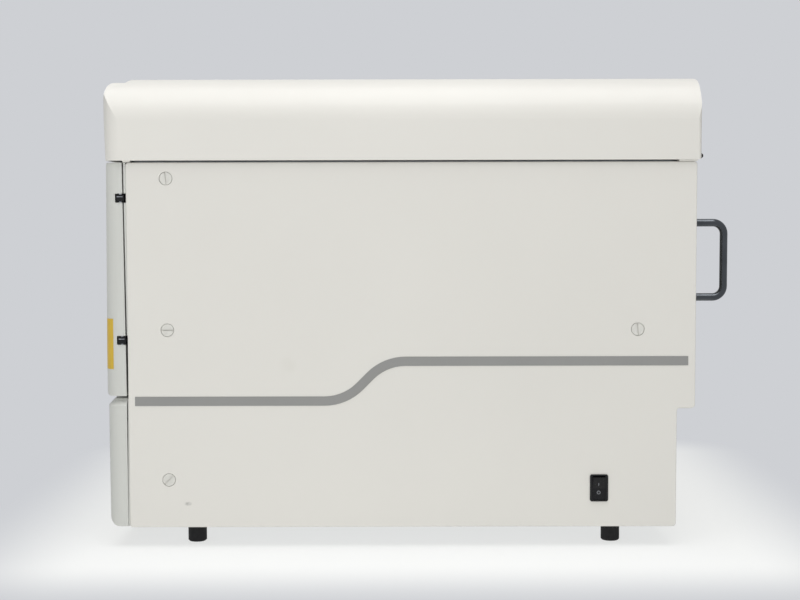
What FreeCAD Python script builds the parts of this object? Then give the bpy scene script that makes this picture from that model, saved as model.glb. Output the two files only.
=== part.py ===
import FreeCAD, Part
import math
import os

import Sketcher

# Multiplex assay analyzer: a bench instrument that images well plates from below a cooled camera.
# The front faces -Y, +X is the user's right, +Z is up, and the origin is under the middle of the
# instrument on the bench. Depths run back from the nose of the top cover, heights up from the bench.

SIZES = {
    # Case
    "case_width": 600.0,
    "cover_front": 28.0,
    "cover_rear": 715.0,
    "cover_bottom": 25.0,
    "cover_top": 468.0,
    "cover_depth": 20.0,
    "cover_skin": 3.0,
    "cover_wall": 2.5,
    "cover_corner": 4.0,
    "cover_edge": 1.2,
    "recess_depth": 22.0,
    "recess_height": 170.0,
    "case_gap": 0.5,
    "tool_over": 1.0,
    "chassis_setback": 5.0,
    # Top cover
    "seam_gap": 2.2,
    "lid_height": 100.4,
    "lid_overhang": 4.0,
    "lid_wall": 4.0,
    "lid_lean": 3.5,
    "lid_nose_rise": 70.3,
    "lid_brow_lean": 5.0,
    "lid_brow_radius": 9.0,
    "crown_drop": 5.6,
    "crown_step": 24.4,
    "crown_ramp": 6.2,
    "lid_rear_overhang": 4.5,
    "lid_rear_radius": 5.0,
    "lid_rear_foot": 3.0,
    "lid_rear_corner": 4.0,
    "lid_side_radius": 52.0,
    "lid_corner_radius": 20.0,
    "lid_lip": 22.0,
    "lid_rib_depth": 22.0,
    "lid_rib": 3.0,
    "lid_screw_inset": 8.0,
    "lid_screw_rise": 4.8,
    "land_gap": 0.2,
    "land_width": 14.0,
    "front_land": 9.0,
    "rear_land": 22.0,
    # Front door
    "door_bottom": 186.0,
    "door_front_top": 3.4,
    "door_front_bottom": 0.5,
    "door_rear_top": 23.5,
    "door_rear_bottom": 26.0,
    "door_wall": 3.5,
    "door_corner_radius": 18.0,
    "door_edge_radius": 3.0,
    "door_rib": 2.5,
    "door_rib_depth": 8.0,
    "door_core": 10.0,
    "door_core_round": 0.7,
    "hinge_inset": 3.0,
    "hinge_depth": 21.1,
    "upper_hinge": 425.4,
    "lower_hinge": 253.8,
    "knuckle_height": 8.4,
    "knuckle_width": 11.5,
    "knuckle_depth": 10.4,
    "knuckle_nose": 4.0,
    "knuckle_proud": 1.3,
    "knuckle_clear": 0.9,
    "knuckle_gap": 0.3,
    "knuckle_relief": 0.6,
    "knuckle_round": 1.5,
    "notch_clear": 1.2,
    "hinge_pin": 4.0,
    "hinge_pin_length": 38.0,
    "hinge_foot": 30.0,
    "hinge_foot_height": 36.0,
    "hinge_leaf": 2.6,
    "hinge_web": 5.0,
    "hinge_foot_inset": 7.0,
    "hinge_foot_round": 3.0,
    "hinge_post": 12.0,
    "magnet_height": 340.0,
    "magnet_size": 30.0,
    "magnet_inset": 4.0,
    "magnet_round": 2.0,
    "strike": 2.0,
    "strike_setback": 3.0,
    "strike_gap": 0.3,
    # Lower front panel
    "panel_bottom": 26.5,
    "panel_lip": 182.5,
    "panel_bevel": 8.0,
    "panel_brow": 1.5,
    "panel_lean": 3.2,
    "panel_foot_radius": 12.0,
    "panel_tab": 16.0,
    "panel_gap": 2.0,
    # Inner fascia
    "fascia_sheet": 2.0,
    "fascia_gap": 1.0,
    "fascia_foot": 4.0,
    "fascia_head": 2.0,
    "fascia_clear": 4.0,
    "fascia_sill": 26.0,
    "fascia_crest": 6.0,
    "fascia_round": 8.0,
    # Trim stripe
    "stripe_width": 11.3,
    "stripe_sheet": 0.4,
    "stripe_front": 36.1,
    "stripe_rear": 706.1,
    "stripe_low": 179.5,
    "stripe_high": 227.7,
    "stripe_bend": 266.0,
    "stripe_radius": 60.0,
    # Quarter-turn fasteners
    "latch_head": 15.3,
    "latch_head_height": 2.1,
    "latch_seat": 2.2,
    "latch_clear": 0.5,
    "latch_bevel": 0.4,
    "latch_shank": 8.0,
    "latch_slot": 1.5,
    "latch_slot_depth": 1.5,
    "latch_bar": 14.0,
    "latch_bar_thick": 3.0,
    "latch_bar_wide": 7.2,
    "latch_bar_gap": 0.3,
    "latch_boss": 18.0,
    "latch_front": 76.3,
    "latch_rear": 644.8,
    "latch_top": 448.7,
    "latch_middle": 266.0,
    "latch_low": 83.3,
    "running_fit": 0.05,
    # Chassis
    "sheet": 3.0,
    "chassis_flange": 20.0,
    "window_width": 70.0,
    "window_height": 60.0,
    "window_corner": 12.0,
    "pan_sheet": 3.0,
    "intake_half": 60.0,
    "intake_depth": 250.0,
    "intake_slot": 5.0,
    "intake_round": 2.4,
    "intake_pitch": 14.0,
    "intake_count": 8,
    "foot_diameter": 23.0,
    "foot_bevel": 1.5,
    "foot_inset": 41.5,
    "foot_front": 104.5,
    "foot_rear": 618.7,
    # Case screws
    "case_screw": 3.0,
    "case_screw_head": 6.4,
    "case_screw_rise": 3.6,
    "panel_screw_inset": 30.0,
    # Rear handles
    "handle_reach": 47.0,
    "handle_rod": 9.5,
    "handle_bend": 13.5,
    "handle_collar": 15.2,
    "handle_collar_thick": 2.5,
    "handle_inset": 45.0,
    "handle_low": 302.2,
    "handle_high": 394.0,
    # Rear panel, fan and sockets; the fan and the inlet are placed from the panel's -X edge
    "fan_size": 120.0,
    "fan_depth": 25.0,
    "fan_bore": 112.0,
    "fan_corner": 5.0,
    "fan_offset": 149.5,
    "fan_height": 330.0,
    "fan_hub": 40.0,
    "fan_hub_cone": 2.0,
    "fan_hub_bevel": 1.5,
    "fan_hub_sink": 1.0,
    "fan_tip_gap": 1.5,
    "fan_blades": 7,
    "blade_root": 1.0,
    "blade_root_pitch": 40.0,
    "blade_root_reach": 6.5,
    "blade_tip_pitch": 24.0,
    "blade_tip_reach": 9.5,
    "blade_rise": 1.0,
    "blade_half_thick": 0.6,
    "fan_spoke": 5.0,
    "fan_spoke_thick": 4.0,
    "fan_running_gap": 0.5,
    "fan_shaft": 6.0,
    "rear_head_gap": 2.0,
    "grille_slot": 5.0,
    "grille_fill": 0.94,
    "grille_round": 0.45,
    "inlet_width": 28.0,
    "inlet_height": 24.0,
    "inlet_offset": 89.5,
    "inlet_level": 92.0,
    "inlet_long": 22.0,
    "inlet_flange": 2.0,
    "inlet_ear": 10.0,
    "inlet_wall": 2.0,
    "inlet_pin": 4.0,
    "inlet_pin_long": 16.0,
    "inlet_pin_pitch": 7.0,
    "port_width": 16.0,
    "port_height": 14.0,
    "port_pitch": 32.0,
    "port_offset": 40.0,
    "port_level": 92.0,
    "port_long": 18.0,
    "port_flange": 1.0,
    "port_wall": 1.0,
    "port_floor": 4.0,
    "socket_fit": 0.3,
    "socket_rim": 2.0,
    "socket_round": 1.0,
    # Power switch
    "switch_depth": 599.0,
    "switch_height": 72.6,
    "switch_wide": 22.0,
    "switch_tall": 33.0,
    "switch_corner": 2.5,
    "switch_lip": 1.5,
    "switch_body": 24.0,
    "switch_rim": 1.5,
    "switch_side": 1.7,
    "switch_end": 0.3,
    "switch_floor": 4.0,
    "rocker_gap": 0.3,
    "rocker_end_gap": 0.9,
    "rocker_pin_gap": 0.2,
    "rocker_pivot": 4.0,
    "rocker_pin": 3.0,
    "rocker_angle": 10.0,
    # Deck and bays; the outer bays are placed from the chassis sides
    "deck_top": 171.0,
    "deck_thick": 6.0,
    "deck_gap": 4.0,
    "window_round": 4.0,
    "bay_spacing": 86.5,
    "bay_depth": 125.0,
    "plate_length": 127.76,
    "plate_width": 85.48,
    "plate_play": 1.0,
    "deck_window_wide": 64.0,
    "deck_window_long": 76.0,
    "bridge_rise": 41.0,
    "bridge_thick": 4.0,
    "bridge_inset": 2.0,
    "bridge_gap": 1.0,
    "pillar": 12.0,
    "pillar_share": 0.42,
    "pillar_spread": 82.0,
    "rear_pillar": 252.0,
    "magazine_height": 230.0,
    "post_leg": 14.0,
    "post_wall": 2.5,
    "ring_rim": 10.0,
    "ring_thick": 4.0,
    "ring_round": 4.0,
    # Plate shuttle and its drive; rails end, and pulleys turn, at a distance from the chassis sides
    "rail": 10.0,
    "rail_rise": 13.0,
    "rail_spread": 50.0,
    "rail_reach": 12.5,
    "rail_block": 14.0,
    "rail_block_waist": 0.9,
    "rail_block_crown": 0.8,
    "rail_block_round": 4.0,
    "bush_waist": 0.9,
    "bush_drop": 0.75,
    "bush_round": 2.0,
    "shuttle_half": 56.0,
    "shuttle_long": 70.0,
    "shuttle_floor": 6.0,
    "shuttle_lift": 6.0,
    "shuttle_round": 6.0,
    "nest_wall": 3.0,
    "nest_rim": 5.0,
    "nest_leg": 16.0,
    "pulley_radius": 12.0,
    "pulley_teeth": 20,
    "tooth_depth": 1.2,
    "tooth_root": 0.4,
    "tooth_tip": 0.8,
    "pulley_depth": 227.0,
    "pulley_offset": 36.5,
    "belt_width": 6.0,
    "belt_thick": 1.4,
    "belt_fit": 0.3,
    "belt_level": 12.0,
    "jaw": 3.0,
    "jaw_half": 10.0,
    "jaw_root": 4.0,
    "motor_size": 42.0,
    "motor_long": 40.0,
    "motor_shaft": 5.0,
    "motor_round": 4.0,
    "shaft_clear": 2.0,
    "idler_post": 6.0,
    "pulley_hub": 3.0,
    "shaft_grip": 12.0,
    "shaft_end": 4.0,
    # Lifts
    "lift_sink": 1.0,
    "lift_wide": 52.0,
    "lift_long": 68.0,
    "lift_plate": 6.0,
    "lift_round": 4.0,
    "lift_arm": 6.0,
    "lift_arm_long": 30.0,
    "lift_nut": 18.0,
    "lift_nut_long": 64.0,
    "lift_nut_share": 1.6,
    "lift_nut_round": 3.0,
    "contact_pitch": 9.0,
    "contact_pin": 1.0,
    "contact_rise": 2.5,
    "pad_inset": 7.0,
    "pad_half": 5.0,
    "pad_round": 2.0,
    "pad_rise": 1.5,
    "screw": 10.0,
    "screw_tail": 10.0,
    "screw_bore": 12.0,
    "screw_seat": 0.3,
    "screw_bevel": 1.0,
    "screw_clear": 0.5,
    "screw_gap": 5.0,
    "guide_rod": 8.0,
    "guide_spread": 22.0,
    "guide_plate": 4.0,
    "lift_stop": 2.0,
    # Optics
    "optics_half": 62.0,
    "optics_front": 60.0,
    "optics_rear": 190.0,
    "optics_rise": 184.0,
    "optics_wall": 3.0,
    "optics_flange": 8.0,
    "mirror_rise": 74.0,
    "mirror_mitre": 0.414,
    "mirror_thick": 6.0,
    "mirror_half": 54.0,
    "lens_axis": 340.0,
    "lens_radius": 34.0,
    "lens_bore": 26.0,
    "lens_long": 200.0,
    "lens_flange": 42.0,
    "lens_flange_thick": 6.0,
    "lens_fit": 0.3,
    "lens_seat": 4.0,
    "iris_rise": 2.0,
    "focus_rise": 4.0,
    "lens_neck": 3.0,
    "glass_crown": 6.0,
    "glass_edge": 4.0,
    "glass_setback": 10.0,
    "camera_half": 45.0,
    "camera_long": 90.0,
    "camera_round": 5.0,
    "fin_pitch": 9.0,
    "fin_gap": 5.0,
    "fin_depth": 26.0,
    "fin_count": 9,
    "bench_half": 40.0,
    "bench_thick": 8.0,
    "bench_front": 282.0,
    "bench_rear": 476.0,
    "bench_foot": 30.0,
    "bench_round": 4.0,
    "bench_top_round": 6.0,
    "saddle_thick": 14.0,
    "saddle_gap": 4.0,
    # Electronics on the base pan
    "supply_inset": 66.5,
    "supply_round": 3.0,
    "supply_margin": 20.0,
    "vent_slot": 5.0,
    "vent_round": 2.4,
    "vent_deep": 2.0,
    "vent_pitch": 14.0,
    "vent_count": 12,
    "supply_wide": 150.0,
    "supply_long": 200.0,
    "supply_tall": 80.0,
    "board_inset": 26.5,
    "board_wide": 180.0,
    "board_long": 150.0,
    "board_thick": 1.6,
    "board_round": 4.0,
    "board_margin": 8.0,
    "standoff": 8.0,
    "standoff_radius": 3.0,
    "electronics_depth": 440.0,
}


class Size:
    """A number together with the sheet formula that it comes from."""

    def __init__(self, value, text):
        self.value = float(value)
        self.text = text

    @staticmethod
    def of(number):
        """Give a Size for a plain number, or the Size itself."""
        return number if isinstance(number, Size) else Size(number, repr(round(float(number), 9)))

    def _with(self, other, sign, value):
        return Size(value, "(%s %s %s)" % (self.text, sign, Size.of(other).text))

    def __add__(self, other):
        return self._with(other, "+", self.value + float(other))

    def __sub__(self, other):
        return self._with(other, "-", self.value - float(other))

    def __mul__(self, other):
        return self._with(other, "*", self.value * float(other))

    def __truediv__(self, other):
        return self._with(other, "/", self.value / float(other))

    def __radd__(self, other):
        return Size.of(other) + self

    def __rsub__(self, other):
        return Size.of(other) - self

    def __rmul__(self, other):
        return Size.of(other) * self

    def __neg__(self):
        return Size.of(0) - self

    def __float__(self):
        return self.value


class Sheet:
    """The driving dimensions: one spreadsheet cell and one attribute for each name."""

    def __init__(self, document, table):
        self.cells = document.addObject("Spreadsheet::Sheet", "Sizes")
        for row, (name, value) in enumerate(table.items(), start=1):
            self.cells.set("A%d" % row, name)
            self.cells.set("B%d" % row, str(value))
            self.cells.setAlias("B%d" % row, name)
            setattr(self, name, Size(value, "Sizes." + name))


doc = FreeCAD.newDocument("MultiplexAssayAnalyzer")
S = Sheet(doc, SIZES)
doc.recompute()

nodes = []
PLANES = {"top": "XY_Plane", "front": "XZ_Plane", "side": "YZ_Plane"}
AXES = {"X": FreeCAD.Vector(1, 0, 0), "Y": FreeCAD.Vector(0, 1, 0), "Z": FreeCAD.Vector(0, 0, 1)}
ALONG = {
    "X": FreeCAD.Rotation(AXES["Y"], 90),
    "Y": FreeCAD.Rotation(AXES["X"], -90),
    "Z": FreeCAD.Rotation(),
}

# Lines that several pieces share
front = -(S.cover_rear + S.handle_reach) / 2
half = S.case_width / 2
cover_inner = half - S.cover_depth
chassis_outer = cover_inner - S.case_gap
chassis_inner = chassis_outer - S.sheet
lid_bottom = S.cover_top + S.seam_gap
lid_top = lid_bottom + S.lid_height
lid_half = half + S.lid_overhang
lid_rear = front + S.cover_rear + S.lid_rear_overhang
pan_top = S.cover_bottom + S.pan_sheet
chassis_front = S.cover_front + S.chassis_setback
fascia_front = chassis_front - S.fascia_sheet
bay_y = front + S.bay_depth
deck_bottom = S.deck_top - S.deck_thick
rail_z = S.deck_top + S.rail_rise
nest_bottom = rail_z + S.shuttle_lift
nest_top = nest_bottom + S.shuttle_floor
bridge_bottom = S.deck_top + S.bridge_rise
bridge_top = bridge_bottom + S.bridge_thick
belt_z = S.deck_top + S.belt_level
pulley_y = front + S.pulley_depth
belt_inner = S.pulley_radius + S.belt_fit
bay_x = chassis_inner - S.bay_spacing
bays = {"input": -bay_x, "contact": 0 * bay_x, "output": 1 * bay_x}
pulley_x = chassis_inner - S.pulley_offset
rail_end = chassis_inner - S.rail_reach
fan_x = S.fan_offset - chassis_outer
inlet_x = S.inlet_offset - chassis_outer


def bind(item, name, size):
    """Set a property of an object and keep it bound to the sheet."""
    if isinstance(size, Size):
        item.setExpression(name, size.text)
    else:
        setattr(item, name, size)


def place(item, x=0, y=0, z=0, rotation=None):
    """Turn an object and put its own origin at x, y, z."""
    item.Placement = FreeCAD.Placement(FreeCAD.Vector(), rotation or FreeCAD.Rotation())
    for name, size in (("x", x), ("y", y), ("z", z)):
        item.setExpression("Placement.Base." + name, Size.of(size).text)
    return item


def node(label, item):
    """Name a finished sub-part; its label is also the name of its file."""
    item.Label = label
    nodes.append(item)
    return item


def body(name):
    """Start a new PartDesign body."""
    return doc.addObject("PartDesign::Body", name)


def origin_feature(part, role):
    """Find a plane or axis of a body's own origin."""
    return [feature for feature in part.Origin.OriginFeatures if feature.Role == role][0]


def rectangle(x0, y0, x1, y1, radius=None):
    """Give the four corners of an upright rectangle, each with the same rounding."""
    corners = [(x0, y0), (x1, y0), (x1, y1), (x0, y1)]
    return [corner if radius is None else corner + (radius,) for corner in corners]


def steps_of(outline):
    """Turn corners (x, y) or (x, y, radius) into the straight and round steps of a closed outline."""
    count = len(outline)
    steps = []
    for index, corner in enumerate(outline):
        x, y = corner[0], corner[1]
        if len(corner) == 2 or float(corner[2]) <= 0:
            steps.append(("point", x, y))
            continue
        before = outline[index - 1]
        after = outline[(index + 1) % count]
        arriving = (float(x) - float(before[0]), float(y) - float(before[1]))
        leaving = (float(after[0]) - float(x), float(after[1]) - float(y))
        a = math.hypot(*arriving)
        b = math.hypot(*leaving)
        ux, uy, vx, vy = arriving[0] / a, arriving[1] / a, leaving[0] / b, leaving[1] / b
        bend = math.atan2(ux * vy - uy * vx, ux * vx + uy * vy)
        reach = abs(math.tan(bend / 2))
        radius = corner[2]
        steps.append(("point", x - radius * (reach * ux), y - radius * (reach * uy)))
        steps.append(("arc", x + radius * (reach * vx), y + radius * (reach * vy), radius, bend))
    return steps


def draw(sketch, outline):
    """Draw one closed outline in a sketch and tie every corner and radius to the sheet."""
    steps = steps_of(outline)
    first = sketch.GeometryCount
    ends = []
    for index, step in enumerate(steps):
        before = steps[index - 1]
        start = FreeCAD.Vector(float(before[1]), float(before[2]), 0)
        stop = FreeCAD.Vector(float(step[1]), float(step[2]), 0)
        if step[0] == "point":
            sketch.addGeometry(Part.LineSegment(start, stop), False)
            ends.append((1, 2))
            continue
        radius = float(step[3])
        bend = step[4]
        chord = stop - start
        side = FreeCAD.Vector(-chord.y, chord.x, 0).normalize() * (1 if bend > 0 else -1)
        middle = (start + stop) / 2 - side * (radius * (1 - math.cos(bend / 2)))
        arc = Part.Arc(start, middle, stop) if bend > 0 else Part.Arc(stop, middle, start)
        sketch.addGeometry(arc, False)
        ends.append((1, 2) if bend > 0 else (2, 1))
    count = len(steps)
    for index, step in enumerate(steps):
        after = (index + 1) % count
        here = first + index
        sketch.addConstraint(
            Sketcher.Constraint("Coincident", here, ends[index][1], first + after, ends[after][0])
        )
        for name, size in (("DistanceX", step[1]), ("DistanceY", step[2])):
            tie(sketch, Sketcher.Constraint(name, -1, 1, here, ends[index][1], float(size)), size)
        if step[0] == "arc":
            tie(sketch, Sketcher.Constraint("Radius", here, float(step[3])), step[3])


def tie(sketch, constraint, size):
    """Add a dimension to a sketch and bind it to the sheet."""
    index = sketch.addConstraint(constraint)
    if isinstance(size, Size):
        sketch.setExpression("Constraints[%d]" % index, size.text)


def draw_circle(sketch, x, y, radius):
    """Draw one circle in a sketch and tie its centre and radius to the sheet."""
    centre = FreeCAD.Vector(float(x), float(y), 0)
    index = sketch.addGeometry(Part.Circle(centre, AXES["Z"], float(radius)), False)
    tie(sketch, Sketcher.Constraint("DistanceX", -1, 1, index, 3, float(x)), x)
    tie(sketch, Sketcher.Constraint("DistanceY", -1, 1, index, 3, float(y)), y)
    tie(sketch, Sketcher.Constraint("Radius", index, float(radius)), radius)


def sketch_on(part, plane, level, outlines):
    """Put closed outlines, or circles (x, y, radius), on a plane of the body at a level."""
    sketch = part.newObject("Sketcher::SketchObject", part.Name + "_sketch")
    sketch.AttachmentSupport = [(origin_feature(part, PLANES[plane]), "")]
    sketch.MapMode = "FlatFace"
    height = -Size.of(level) if plane == "front" else Size.of(level)
    sketch.setExpression("AttachmentOffset.Base.z", height.text)
    for outline in outlines:
        if isinstance(outline, tuple):
            draw_circle(sketch, *outline)
        else:
            draw(sketch, outline)
    return sketch


def grow(part, plane, level, length, *outlines):
    """Pad outlines from a level towards +X, +Y or +Z."""
    sketch = sketch_on(part, plane, level, outlines)
    pad = part.newObject("PartDesign::Pad", part.Name + "_pad")
    pad.Profile = sketch
    bind(pad, "Length", length)
    pad.Reversed = plane == "front"
    doc.recompute()
    return pad


def carve(part, plane, level, length, *outlines):
    """Pocket outlines from a level towards +X, +Y or +Z."""
    before = part.Shape.Volume
    sketch = sketch_on(part, plane, level, outlines)
    pocket = part.newObject("PartDesign::Pocket", part.Name + "_pocket")
    pocket.Profile = sketch
    bind(pocket, "Length", length)
    pocket.Reversed = plane != "front"
    doc.recompute()
    if part.Shape.Volume >= before:
        raise RuntimeError(part.Name + ": a pocket cuts nothing")
    return pocket


def turn(part, outline):
    """Revolve an outline of radii and heights about the body's own Z axis."""
    sketch = sketch_on(part, "front", 0, [outline])
    revolution = part.newObject("PartDesign::Revolution", part.Name + "_turned")
    revolution.Profile = sketch
    revolution.ReferenceAxis = (origin_feature(part, "Z_Axis"), [""])
    revolution.Angle = 360
    doc.recompute()
    return revolution


def soften(part, kind, size, picked):
    """Round or bevel the edges of a body that a test picks."""
    names = ["Edge%d" % (number + 1) for number, edge in enumerate(part.Shape.Edges) if picked(edge)]
    if not names:
        raise RuntimeError(part.Name + ": no edge to soften")
    base = part.Tip
    feature = part.newObject("PartDesign::" + kind, part.Name + "_" + kind.lower())
    feature.Base = (base, names)
    if kind == "Fillet":
        bind(feature, "Radius", size)
    else:
        bind(feature, "Size", size)
    part.Tip = feature
    doc.recompute()
    return feature


def repeat(part, feature, axis, pitch, count):
    """Repeat a feature of a body along X, Y or Z."""
    pattern = part.newObject("PartDesign::LinearPattern", part.Name + "_row")
    pattern.Originals = [feature]
    pattern.Direction = (origin_feature(part, axis + "_Axis"), [""])
    pattern.Occurrences = count
    bind(pattern, "Length", pitch * (count - 1))
    part.Tip = pattern
    doc.recompute()
    return pattern


def spin_copies(part, feature, count):
    """Repeat a feature of a body about the body's own Z axis."""
    pattern = part.newObject("PartDesign::PolarPattern", part.Name + "_ring")
    pattern.Originals = [feature]
    pattern.Axis = (origin_feature(part, "Z_Axis"), [""])
    pattern.Angle = 360
    pattern.Occurrences = count
    part.Tip = pattern
    doc.recompute()
    return pattern


def block(name, x0, y0, z0, x1, y1, z1):
    """Make an upright box between two corners."""
    item = doc.addObject("Part::Box", name)
    bind(item, "Length", Size.of(x1) - x0)
    bind(item, "Width", Size.of(y1) - y0)
    bind(item, "Height", Size.of(z1) - z0)
    return place(item, x0, y0, z0)


def rod(name, x, y, z, axis, radius, length):
    """Make a round bar that starts at x, y, z and runs towards +X, +Y or +Z."""
    item = doc.addObject("Part::Cylinder", name)
    bind(item, "Radius", Size.of(radius))
    bind(item, "Height", Size.of(length))
    return place(item, x, y, z, ALONG[axis])


def join(name, items):
    """Fuse overlapping or touching shapes into one."""
    item = doc.addObject("Part::MultiFuse", name)
    item.Shapes = items
    doc.recompute()
    return item


def overlap(name, items):
    """Keep what several shapes have in common."""
    item = doc.addObject("Part::MultiCommon", name)
    item.Shapes = items
    doc.recompute()
    return item


def cut(name, base, *tools):
    """Take one or more shapes away from a base."""
    item = doc.addObject("Part::Cut", name)
    item.Base = base
    item.Tool = tools[0] if len(tools) == 1 else join(name + "_tools", list(tools))
    doc.recompute()
    return item


def group(name, items):
    """Keep identical pieces together as separate solids."""
    item = doc.addObject("Part::Compound", name)
    item.Links = items
    doc.recompute()
    return item


def extruded(name, plane, level, length, outline):
    """Make a plain extrusion of one outline, as a body of its own."""
    part = body(name)
    grow(part, plane, level, length, outline)
    return part


def is_at(edge, axis, value, tolerance=0.05):
    """Tell whether both ends of an edge lie at one value of x, y or z."""
    return all(abs(getattr(v.Point, axis) - float(value)) < tolerance for v in edge.Vertexes)


# Top cover


def lid_block(name, inset, floor, lower_corner):
    """Make the cover's outer form, or its hollow, inset by the wall."""
    rear = lid_rear - inset
    side = [
        (front + S.lid_lean + inset, floor),
        (front + inset, lid_bottom + S.lid_nose_rise),
        (front + S.lid_brow_lean + inset, lid_top - S.crown_drop - inset, S.lid_brow_radius - inset),
        (front + S.crown_step, lid_top - S.crown_drop - inset),
        (front + S.crown_step + S.crown_ramp, lid_top - inset),
        (rear, lid_top - inset, S.lid_rear_radius - inset),
        (rear, floor, lower_corner),
    ]
    wide = lid_half - inset
    radius = S.lid_side_radius - inset
    face = [
        (-wide, floor),
        (wide, floor),
        (wide, lid_top - inset, radius),
        (-wide, lid_top - inset, radius),
    ]
    corner = S.lid_corner_radius - inset
    rear_corner = S.lid_rear_corner - inset
    plan = [
        (-wide, front + inset, corner),
        (wide, front + inset, corner),
        (wide, rear, rear_corner),
        (-wide, rear, rear_corner),
    ]
    return overlap(name, [
        extruded(name + "_side", "side", -wide, wide * 2, side),
        extruded(name + "_face", "front", front, lid_rear - front, face),
        extruded(name + "_plan", "top", floor, lid_top - floor, plan),
    ])


def top_cover():
    """Moulded shell with a return lip, cross ribs and lands that close the seam at both ends."""
    outer = lid_block("lid_outer", Size.of(0), lid_bottom, S.lid_rear_foot)
    lip_top = lid_bottom + S.lid_wall
    hollow = lid_block("lid_hollow", S.lid_wall, lip_top, Size.of(0))
    ribs = []
    for third in (1, 2, 3):
        y = front + (lid_rear - front) * third / 4
        ribs.append(block("lid_rib", -lid_half, y, lid_top - S.lid_rib_depth,
                          lid_half, y + S.lid_rib, lid_top))
    hollow = cut("lid_hollow_ribbed", hollow, *ribs)
    reach = lid_half - S.lid_wall - S.lid_lip
    mouth = extruded("lid_mouth", "top", lid_bottom - S.tool_over, S.lid_wall + S.tool_over * 2, rectangle(
        -reach, front + S.lid_wall + S.lid_lip, reach, lid_rear - S.lid_wall - S.lid_lip, S.lid_wall))
    shell = cut("lid_shell", outer, hollow, mouth)
    lands = []
    for side in (-1, 1):
        for start, length in ((S.crown_step, S.front_land), (S.cover_rear - S.rear_land, S.rear_land)):
            outer_x = side * half
            inner_x = side * (half - S.land_width)
            low, high = (inner_x, outer_x) if side > 0 else (outer_x, inner_x)
            lands.append(block("lid_land", low, front + start, S.cover_top + S.land_gap,
                               high, front + start + length, lid_bottom))
    cover = join("lid", [shell] + lands)
    holes = [rod("lid_screw_hole", x, lid_rear - 2 * S.lid_wall, lid_screw_z, "Y",
                 screw_shank, 3 * S.lid_wall) for x in lid_screw_x]
    node("top_cover", cut("top_cover_body", cover, *holes))


lid_screw_z = lid_bottom + S.lid_screw_rise
lid_screw_x = [-(half - S.lid_screw_inset), half - S.lid_screw_inset]
screw_shank = S.case_screw / 2


# Side covers


def case_outline(inset, corner, lower):
    """Give the side view of the case with its stepped rear, inset all round."""
    return [
        (front + S.cover_front + inset, lower, corner),
        (front + S.cover_rear - S.recess_depth - inset, lower, corner),
        (front + S.cover_rear - S.recess_depth - inset, S.recess_height + inset, corner),
        (front + S.cover_rear - inset, S.recess_height + inset, corner),
        (front + S.cover_rear - inset, S.cover_top - inset, corner),
        (front + S.cover_front + inset, S.cover_top - inset, corner),
    ]


def latch_points():
    """Give the names, depths and heights of one side's four quarter-turn fasteners."""
    return [
        ("upper", S.latch_front, S.latch_top),
        ("middle", S.latch_front, S.latch_middle),
        ("lower", S.latch_front, S.latch_low),
        ("rear", S.latch_rear, S.latch_middle),
    ]


def side_cover(label, side):
    """Moulded pan with a boss and a sunk seat for every fastener; the right one takes the switch."""
    low = half - S.cover_depth if side > 0 else -half
    hollow = low if side > 0 else low + S.cover_skin
    part = body(label)
    grow(part, "side", low, S.cover_depth, case_outline(Size.of(0), S.cover_corner, S.cover_bottom))
    soften(part, "Fillet", S.cover_edge, lambda edge: is_at(edge, "x", side * half))
    depth = S.cover_depth - S.cover_skin
    inset = S.cover_wall
    carve(part, "side", hollow, depth,
          case_outline(inset, S.cover_corner - inset, S.cover_bottom + inset))
    points = [(front + d, z) for _, d, z in latch_points()]
    grow(part, "side", hollow, depth, *[(y, z, S.latch_boss / 2) for y, z in points])
    bore = S.latch_shank / 2 + S.running_fit
    carve(part, "side", low, S.cover_depth, *[(y, z, bore) for y, z in points])
    seat = half - S.latch_seat if side > 0 else -half
    sink = S.latch_head / 2 + S.latch_clear
    carve(part, "side", seat, S.latch_seat, *[(y, z, sink) for y, z in points])
    if side > 0:
        carve(part, "side", hollow + depth, S.cover_skin, switch_window(S.rocker_gap))
    node(label, part)


def switch_window(gap):
    """Give the opening that the switch body passes through."""
    y = front + S.switch_depth
    wide = S.switch_wide / 2 - S.switch_rim + gap
    tall = S.switch_tall / 2 - S.switch_rim + gap
    return rectangle(y - wide, S.switch_height - tall, y + wide, S.switch_height + tall)


def side_stripes():
    """Thin trim along each side cover, with an S-shaped rise of two arcs joined by a straight."""
    rise = S.stripe_high - S.stripe_low
    start = front + S.stripe_bend + S.stripe_radius * math.tan(math.radians(22.5))
    band = S.stripe_width / 2
    lean = band * math.tan(math.radians(22.5))
    outer = S.stripe_radius + band
    inner = S.stripe_radius - band
    outline = [
        (front + S.stripe_front, S.stripe_low - band),
        (start + lean, S.stripe_low - band, outer),
        (start + rise + lean, S.stripe_high - band, inner),
        (front + S.stripe_rear, S.stripe_high - band),
        (front + S.stripe_rear, S.stripe_high + band),
        (start + rise - lean, S.stripe_high + band, outer),
        (start - lean, S.stripe_low + band, inner),
        (front + S.stripe_front, S.stripe_low + band),
    ]
    strips = [
        extruded("right_stripe", "side", half, S.stripe_sheet, outline),
        extruded("left_stripe", "side", -half - S.stripe_sheet, S.stripe_sheet, outline),
    ]
    node("side_stripes", group("stripes", strips))


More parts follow.
